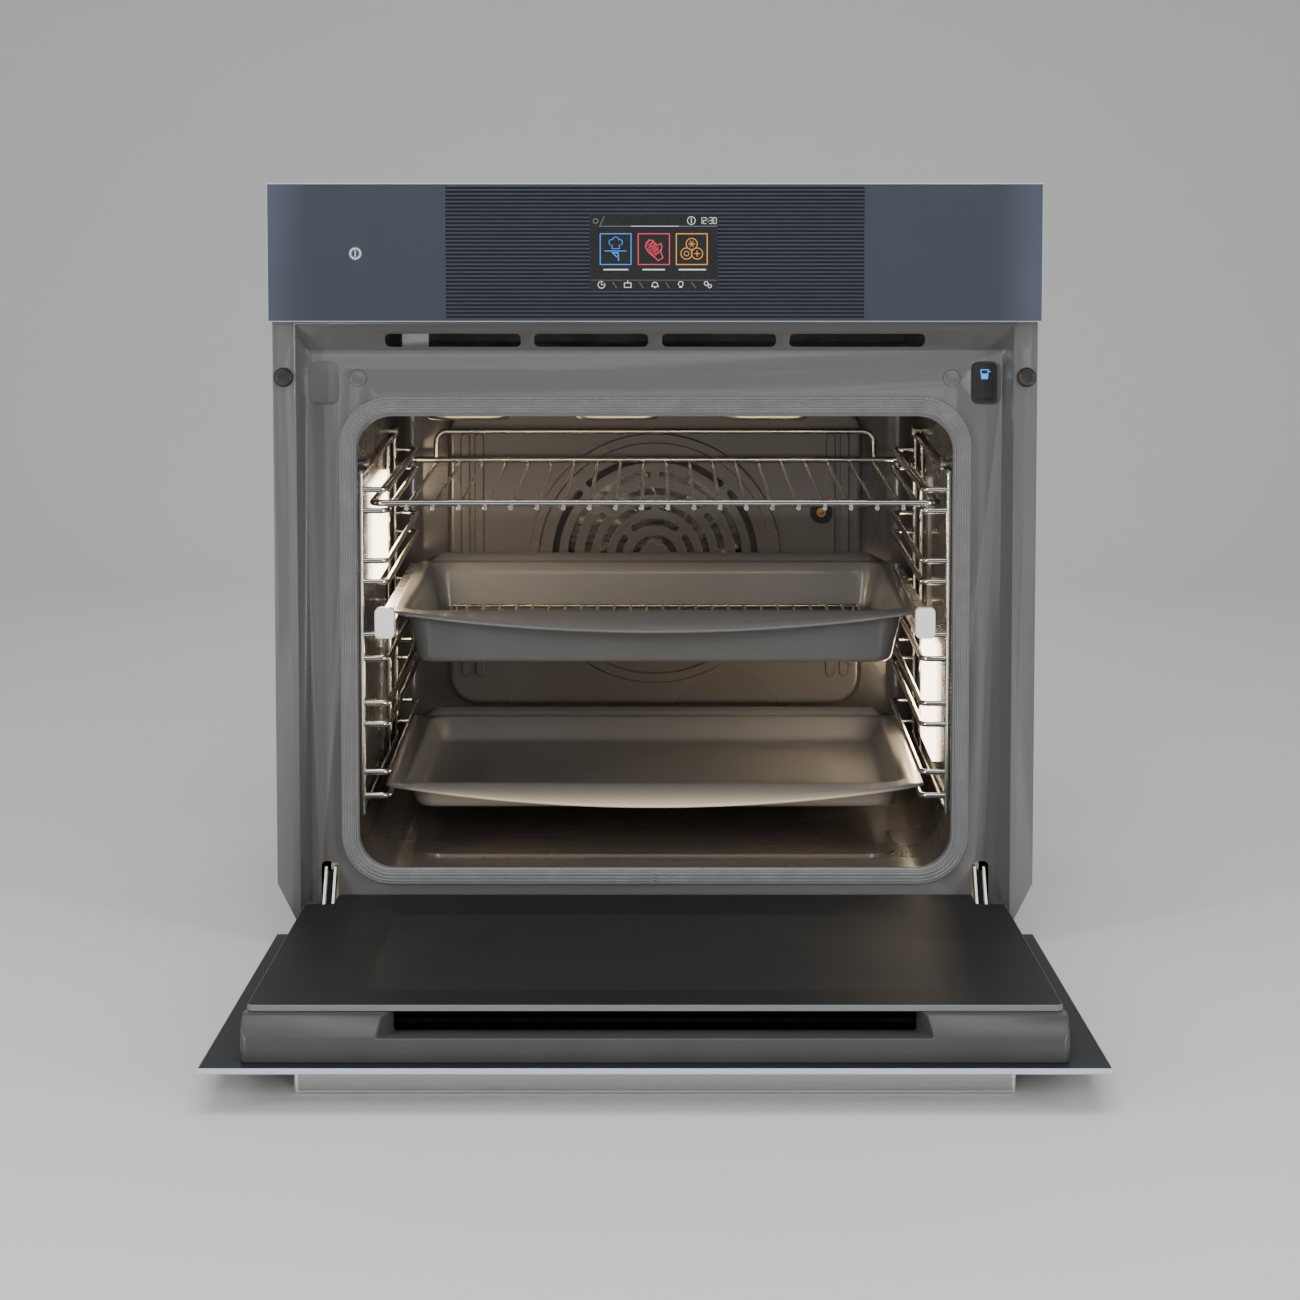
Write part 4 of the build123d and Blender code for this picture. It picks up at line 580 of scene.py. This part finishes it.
# ---------------------------------------------------------------- marks on the glass
class Marks:
    """Flat marks drawn on a plane facing the front; x and z in millimetres."""

    def __init__(self, name, depth, material, body):
        self.bm = bmesh.new()
        self.name, self.y, self.material, self.body = name, depth, material, body

    def plate(self, points):
        self.bm.faces.new([self.bm.verts.new((x * MM, self.y, z * MM)) for x, z in points])

    def box(self, x0, x1, z0, z1):
        self.plate(((x0, z0), (x1, z0), (x1, z1), (x0, z1)))

    def line(self, points, width=0.55, closed=False):
        points = list(points)
        pairs = list(zip(points, points[1:] + points[:1] if closed else points[1:]))
        for (x0, z0), (x1, z1) in pairs:
            run = math.hypot(x1 - x0, z1 - z0) or 1.0
            ux, uz = (x1 - x0) / run * width / 2, (z1 - z0) / run * width / 2
            self.plate(((x0 - ux + uz, z0 - uz - ux), (x1 + ux + uz, z1 + uz - ux),
                        (x1 + ux - uz, z1 + uz + ux), (x0 - ux - uz, z0 - uz + ux)))

    def arc(self, cx, cz, radius, start=0.0, end=360.0, width=0.55, squash=1.0):
        steps = max(6, int(abs(end - start) / 15))
        angles = [math.radians(start + (end - start) * k / steps) for k in range(steps + 1)]
        inner, outer = radius - width / 2, radius + width / 2
        for a, b in zip(angles, angles[1:]):
            self.plate([(cx + r * math.cos(t), cz + squash * r * math.sin(t))
                        for r, t in ((outer, a), (outer, b), (inner, b), (inner, a))])

    def disc(self, cx, cz, radius):
        self.plate([(cx + radius * math.cos(math.radians(a)), cz + radius * math.sin(math.radians(a)))
                    for a in range(0, 360, 20)])

    def done(self, slot="display_glass"):
        mesh = bpy.data.meshes.new(self.name)
        self.bm.to_mesh(mesh)
        self.bm.free()
        return new_object(self.name, mesh, self.material, self.body, slot)


GLASS_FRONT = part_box("panel_glass")[0].y
LIT = {
    "white": glowing("mark_white", (0.85, 0.88, 0.9), 1.1),
    "grey": glowing("mark_grey", (0.5, 0.52, 0.55), 0.35),
    "halo": glowing("mark_halo", (0.35, 0.42, 0.5), 0.22, (0.06, 0.07, 0.09)),
    "blue": glowing("mark_blue", (0.02, 0.25, 0.85), 1.3),
    "red": glowing("mark_red", (0.85, 0.03, 0.10), 1.1),
    "amber": glowing("mark_amber", (0.95, 0.38, 0.03), 1.1),
}
DIGITS = {"0": "abcdef", "1": "bc", "2": "abged", "3": "abgcd"}


def display_marks():
    face = Marks("display_field", GLASS_FRONT - 0.04 * MM, M["display_glass"], "oven")
    face.box(-50.2, 48.4, 505.2, 562.9)
    face.done()
    white = Marks("display_white", GLASS_FRONT - 0.10 * MM, LIT["white"], "oven")
    grey = Marks("display_grey", GLASS_FRONT - 0.08 * MM, LIT["grey"], "oven")
    # tab and rule along the top, tabs along the foot
    grey.line(((-39.0, 561.5), (-42.5, 554.0), (47.5, 554.0)), 0.5)
    white.line(((-18.0, 554.0), (18.0, 554.0)), 0.45)
    grey.arc(-45.6, 558.0, 1.8)
    grey.line(((-48.8, 512.6), (47.0, 512.6)), 0.3)
    for x in (-31.0, -10.6, 9.6, 29.6):
        grey.line(((x - 1.4, 511.0), (x + 1.4, 506.6)), 0.45)
    # round mark and the time of day
    white.arc(27.9, 558.3, 3.0, width=0.5)
    white.line(((27.9, 556.9), (27.9, 558.6)), 0.7)
    white.disc(27.9, 559.7, 0.45)
    left = 33.9
    for digit in "12:30":
        if digit == ":":
            white.disc(left + 0.4, 557.4, 0.32)
            white.disc(left + 0.4, 559.4, 0.32)
            left += 1.5
            continue
        w, z0, h = 2.1, 556.0, 4.6
        strokes = {"a": ((left, z0 + h), (left + w, z0 + h)),
                   "b": ((left + w, z0 + h), (left + w, z0 + h / 2)),
                   "c": ((left + w, z0 + h / 2), (left + w, z0)), "d": ((left, z0), (left + w, z0)),
                   "e": ((left, z0), (left, z0 + h / 2)), "f": ((left, z0 + h / 2), (left, z0 + h)),
                   "g": ((left, z0 + h / 2), (left + w, z0 + h / 2))}
        for key in DIGITS[digit]:
            white.line(strokes[key], 0.42)
        left += 3.2
    # bars in place of the captions
    for x0, x1 in ((-39.6, -20.6), (-9.6, 7.6), (18.2, 39.2)):
        white.box(x0, x1, 520.2, 521.2)
    # foot: dial, steam, bell, lamp, settings
    white.arc(-41.2, 509.0, 2.6, 60, 390)
    white.line(((-41.2, 510.6), (-41.2, 509.0), (-39.8, 509.0)), 0.45)
    white.line(((-23.6, 507.0), (-18.4, 507.0), (-18.4, 510.4), (-23.6, 510.4)), 0.5, closed=True)
    white.line(((-21.0, 510.4), (-21.0, 512.0)), 0.6)
    white.arc(0.0, 509.0, 2.0, 0, 180)
    white.line(((-2.0, 509.0), (-2.6, 507.6), (2.6, 507.6), (2.0, 509.0)), 0.5)
    white.disc(0.0, 506.8, 0.5)
    white.arc(19.8, 509.8, 1.8, -50, 230)
    white.line(((19.2, 507.4), (20.4, 507.4)), 1.2)
    white.arc(39.4, 510.0, 1.5)
    white.arc(42.2, 508.0, 1.3)
    grey.done()
    white.done()

    frames = {"blue": (-42.1, -18.4), "red": (-12.9, 11.1), "amber": (16.4, 40.1)}
    marks = {}
    for color, (x0, x1) in frames.items():
        marks[color] = Marks("display_" + color, GLASS_FRONT - 0.10 * MM, LIT[color], "oven")
        marks[color].line(((x0, 524.6), (x1, 524.6), (x1, 548.2), (x0, 548.2)), 0.75, closed=True)
    # cook's hat over a served tray
    blue = marks["blue"]
    blue.arc(-33.2, 541.6, 2.2, 60, 250)
    blue.arc(-30.2, 543.2, 2.5, 10, 170)
    blue.arc(-27.2, 541.6, 2.2, -70, 120)
    blue.line(((-33.0, 539.6), (-33.0, 536.8), (-27.4, 536.8), (-27.4, 539.6)))
    blue.line(((-38.4, 535.0), (-22.2, 535.0)), 0.7)
    blue.line(((-31.6, 533.6), (-28.4, 533.6), (-28.0, 528.0)), 1.0)
    blue.line(((-33.0, 533.8), (-29.4, 530.4)), 0.7)
    blue.done()
    # oven glove with a quilted face
    red = marks["red"]
    outline = ((-6.8, 541.0), (-4.6, 543.6), (-1.6, 543.0), (0.6, 540.2), (2.8, 539.4),
               (4.6, 541.0), (5.4, 538.4), (4.6, 533.6), (6.2, 529.8), (2.4, 527.6),
               (-0.6, 530.4), (-5.0, 534.0), (-7.4, 538.0))
    red.line(outline, 0.7, closed=True)
    for k in range(5):
        red.line(((-6.4 + 2.0 * k, 540.6 - 1.7 * k), (-3.6 + 2.0 * k, 543.2 - 1.9 * k)), 0.45)
        red.line(((-5.6 + 1.3 * k, 534.6 - 1.0 * k), (-1.8 + 1.5 * k, 542.6 - 1.6 * k)), 0.45)
        red.line(((-6.9 + 0.9 * k, 538.8 - 1.7 * k), (-1.6 + 1.5 * k, 541.8 - 2.0 * k)), 0.4)
    red.done()
    # three linked rounds
    amber = marks["amber"]
    for cx, cz in ((28.2, 540.4), (24.2, 533.0), (32.4, 533.0)):
        amber.arc(cx, cz, 4.3, width=0.6)
    for a in (0, 60, 120):
        dx, dz = 2.4 * math.cos(math.radians(a)), 2.4 * math.sin(math.radians(a))
        amber.line(((28.2 - dx, 540.4 - dz), (28.2 + dx, 540.4 + dz)), 0.5)
    amber.arc(24.2, 533.0, 1.8, width=0.5)
    amber.line(((30.4, 533.0), (34.4, 533.0)), 0.6)
    amber.line(((32.4, 531.0), (32.4, 535.0)), 0.6)
    amber.done()


def power_mark():
    glow = Marks("power_glow", GLASS_FRONT - 0.04 * MM, LIT["halo"], "oven")
    glow.arc(-230.4, 533.0, 3.9, width=2.6)
    glow.done()
    key = Marks("power_mark", GLASS_FRONT - 0.08 * MM, LIT["white"], "oven")
    key.arc(-230.4, 533.0, 3.9, width=0.9)
    key.line(((-230.4, 531.0), (-230.4, 535.0)), 0.8)
    key.done()


def inlet_mark():
    """Lit jug sign on the water inlet."""
    low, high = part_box("water_inlet")
    x = (low.x + high.x) / 2 / MM
    z = high.z / MM - 8.5
    sign = Marks("inlet_mark", low.y - 0.05 * MM, glowing("inlet_blue", (0.02, 0.35, 0.9), 1.6), "oven")
    jug = ((x - 3.2, z + 3.4), (x + 2.6, z + 3.4), (x + 2.0, z - 3.6), (x - 2.4, z - 3.6))
    sign.line(jug, 0.7, closed=True)
    sign.box(x - 2.3, x + 1.9, z - 3.4, z + 0.4)
    sign.line(((x + 2.6, z + 2.6), (x + 4.2, z + 1.8)), 0.7)
    sign.done("black_plastic")


def shelf_wire_ends():
    """Rounded ends of the shelf wires under the front bar."""
    bm = bmesh.new()
    for n in range(20):
        x = (n - 9.5) * 20.7 * MM
        made = bmesh.ops.create_uvsphere(bm, u_segments=12, v_segments=8, radius=2.1 * MM)
        bmesh.ops.translate(bm, vec=(x, 36.7 * MM, (333.5 - 3.9) * MM), verts=made["verts"])
    for face in bm.faces:
        face.smooth = True
    mesh = bpy.data.meshes.new("shelf_wire_ends")
    bm.to_mesh(mesh)
    bm.free()
    new_object("shelf_wire_ends", mesh, M["chrome_wire"], "shelf", "chrome_wire")


door_seal()
pressed_tray("deep_tray", 45 * MM, 9 * MM)
pressed_tray("baking_tray", 23 * MM, 6 * MM)
display_marks()
power_mark()
inlet_mark()
shelf_wire_ends()
softened("front_frame", 0.9 * MM)
eased("fan_cover", 0.9 * MM)
softened("door_top_profile", 1.4 * MM, 3)
softened("screw_plugs", 2.2 * MM, 4, 15)

# ---------------------------------------------------------------- stage, light and camera
FLOOR_Z = cad_box[0][2] - 1 * MM


def stage_mesh(name, verts, faces, color, rough):
    mesh = bpy.data.meshes.new(name)
    mesh.from_pydata(verts, [], faces)
    obj = bpy.data.objects.new(name, mesh)
    bpy.context.scene.collection.objects.link(obj)
    shade = Shader(name, color, rough)
    shade.color(shade.mix(shade.noise(3), color, tuple(c * 0.97 for c in color)))
    mesh.materials.append(shade.mat)
    return obj


def backdrop():
    profile = [(-6.0, FLOOR_Z), (2.2, FLOOR_Z)]
    profile += [(2.2 + 0.8 * math.sin(a), FLOOR_Z + 0.8 * (1 - math.cos(a)))
                for a in (math.radians(10 * k) for k in range(1, 10))]
    profile += [(3.0, FLOOR_Z + 4.0)]
    verts = [(x, y, z) for y, z in profile for x in (-6.0, 6.0)]
    faces = [(2 * k, 2 * k + 1, 2 * k + 3, 2 * k + 2) for k in range(len(profile) - 1)]
    obj = stage_mesh("backdrop", verts, faces, (0.62, 0.62, 0.61), 0.7)
    obj.data.polygons.foreach_set("use_smooth", [True] * len(obj.data.polygons))


def plinth():
    low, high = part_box("base_plate")
    bm = bmesh.new()
    bmesh.ops.create_cube(bm, size=1.0)
    size = Vector((high.x - low.x - 0.02, high.y - 0.03, -FLOOR_Z))
    bmesh.ops.scale(bm, vec=size, verts=bm.verts)
    bmesh.ops.translate(bm, vec=(0, 0.02 + size.y / 2, FLOOR_Z / 2), verts=bm.verts)
    mesh = bpy.data.meshes.new("plinth")
    bm.to_mesh(mesh)
    bm.free()
    obj = bpy.data.objects.new("plinth", mesh)
    bpy.context.scene.collection.objects.link(obj)
    mesh.materials.append(Shader("plinth", (0.5, 0.5, 0.5), 0.7).mat)


def area_light(name, place, target, size, power, color=(1, 1, 1), mirrored=True):
    data = bpy.data.lights.new(name, "AREA")
    data.shape = "RECTANGLE"
    data.size, data.size_y = size
    data.energy = power
    data.color = color
    obj = bpy.data.objects.new(name, data)
    bpy.context.scene.collection.objects.link(obj)
    obj.visible_glossy = mirrored
    obj.location = place
    obj.rotation_euler = (Vector(target) - Vector(place)).to_track_quat("-Z", "Y").to_euler()


backdrop()
plinth()
area_light("key_left", (-2.2, -2.0, 1.9), (0, 0, 0.3), (0.7, 1.6), 14)
area_light("fill_right", (2.3, -1.8, 1.5), (0, 0, 0.3), (0.7, 1.8), 11)
area_light("top", (0, -0.5, 2.6), (0, 0.1, 0.3), (2.4, 1.6), 40)
area_light("back", (0, 2.4, 1.8), (0, 0.4, 0.5), (2.0, 1.0), 20)
LAMP_WARM = (1.0, 0.76, 0.48)
LAMP_INSET = 8 * MM
LAMP_POWER = 0.55
lens_low, lens_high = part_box("lamp_lenses")
area_light("cavity_left", (lens_low.x + LAMP_INSET, 0.24, 0.293), (0.2, 0.24, 0.2),
           (0.12, 0.08), LAMP_POWER, LAMP_WARM)
area_light("cavity_right", (lens_high.x - LAMP_INSET, 0.24, 0.15), (-0.2, 0.24, 0.2),
           (0.12, 0.09), LAMP_POWER, LAMP_WARM)
area_light("strip_left", (-1.5, -1.5, 0.45), (0, 0, 0.3), (0.08, 1.6), 20)
area_light("strip_right", (1.5, -1.5, 0.45), (0, 0, 0.3), (0.08, 1.6), 20)
area_light("low_front", (0, -2.4, 0.75), (0, 0, 0.2), (1.0, 0.7), 38, mirrored=False)
area_light("cavity_front", (0, 0.05, 0.392), (0, 0.42, 0.27), (0.34, 0.02), 0.2, LAMP_WARM)
area_light("cavity_low", (0, 0.03, 0.095), (0, 0.35, 0.02), (0.36, 0.03), 0.3, LAMP_WARM, mirrored=False)

world = bpy.data.worlds.new("studio")
bpy.context.scene.world = world
world.use_nodes = True
world.node_tree.nodes["Background"].inputs["Color"].default_value = (0.75, 0.77, 0.8, 1)
world.node_tree.nodes["Background"].inputs["Strength"].default_value = 0.22

EYE = (0.0, -2.7051, 0.6213)
DOWN_DEG = 5.199
LENS = 96.42
SHIFT = (-0.00385, -0.15)
# the camera looks slightly down and keeps a little of the vertical shift of an architectural shot
camera = bpy.data.objects.new("camera", bpy.data.cameras.new("camera"))
bpy.context.scene.collection.objects.link(camera)
bpy.context.scene.camera = camera
camera.location = EYE
camera.rotation_euler = (math.radians(90 - DOWN_DEG), 0, 0)
camera.data.sensor_width = 36.0
camera.data.lens = LENS
camera.data.shift_x, camera.data.shift_y = SHIFT
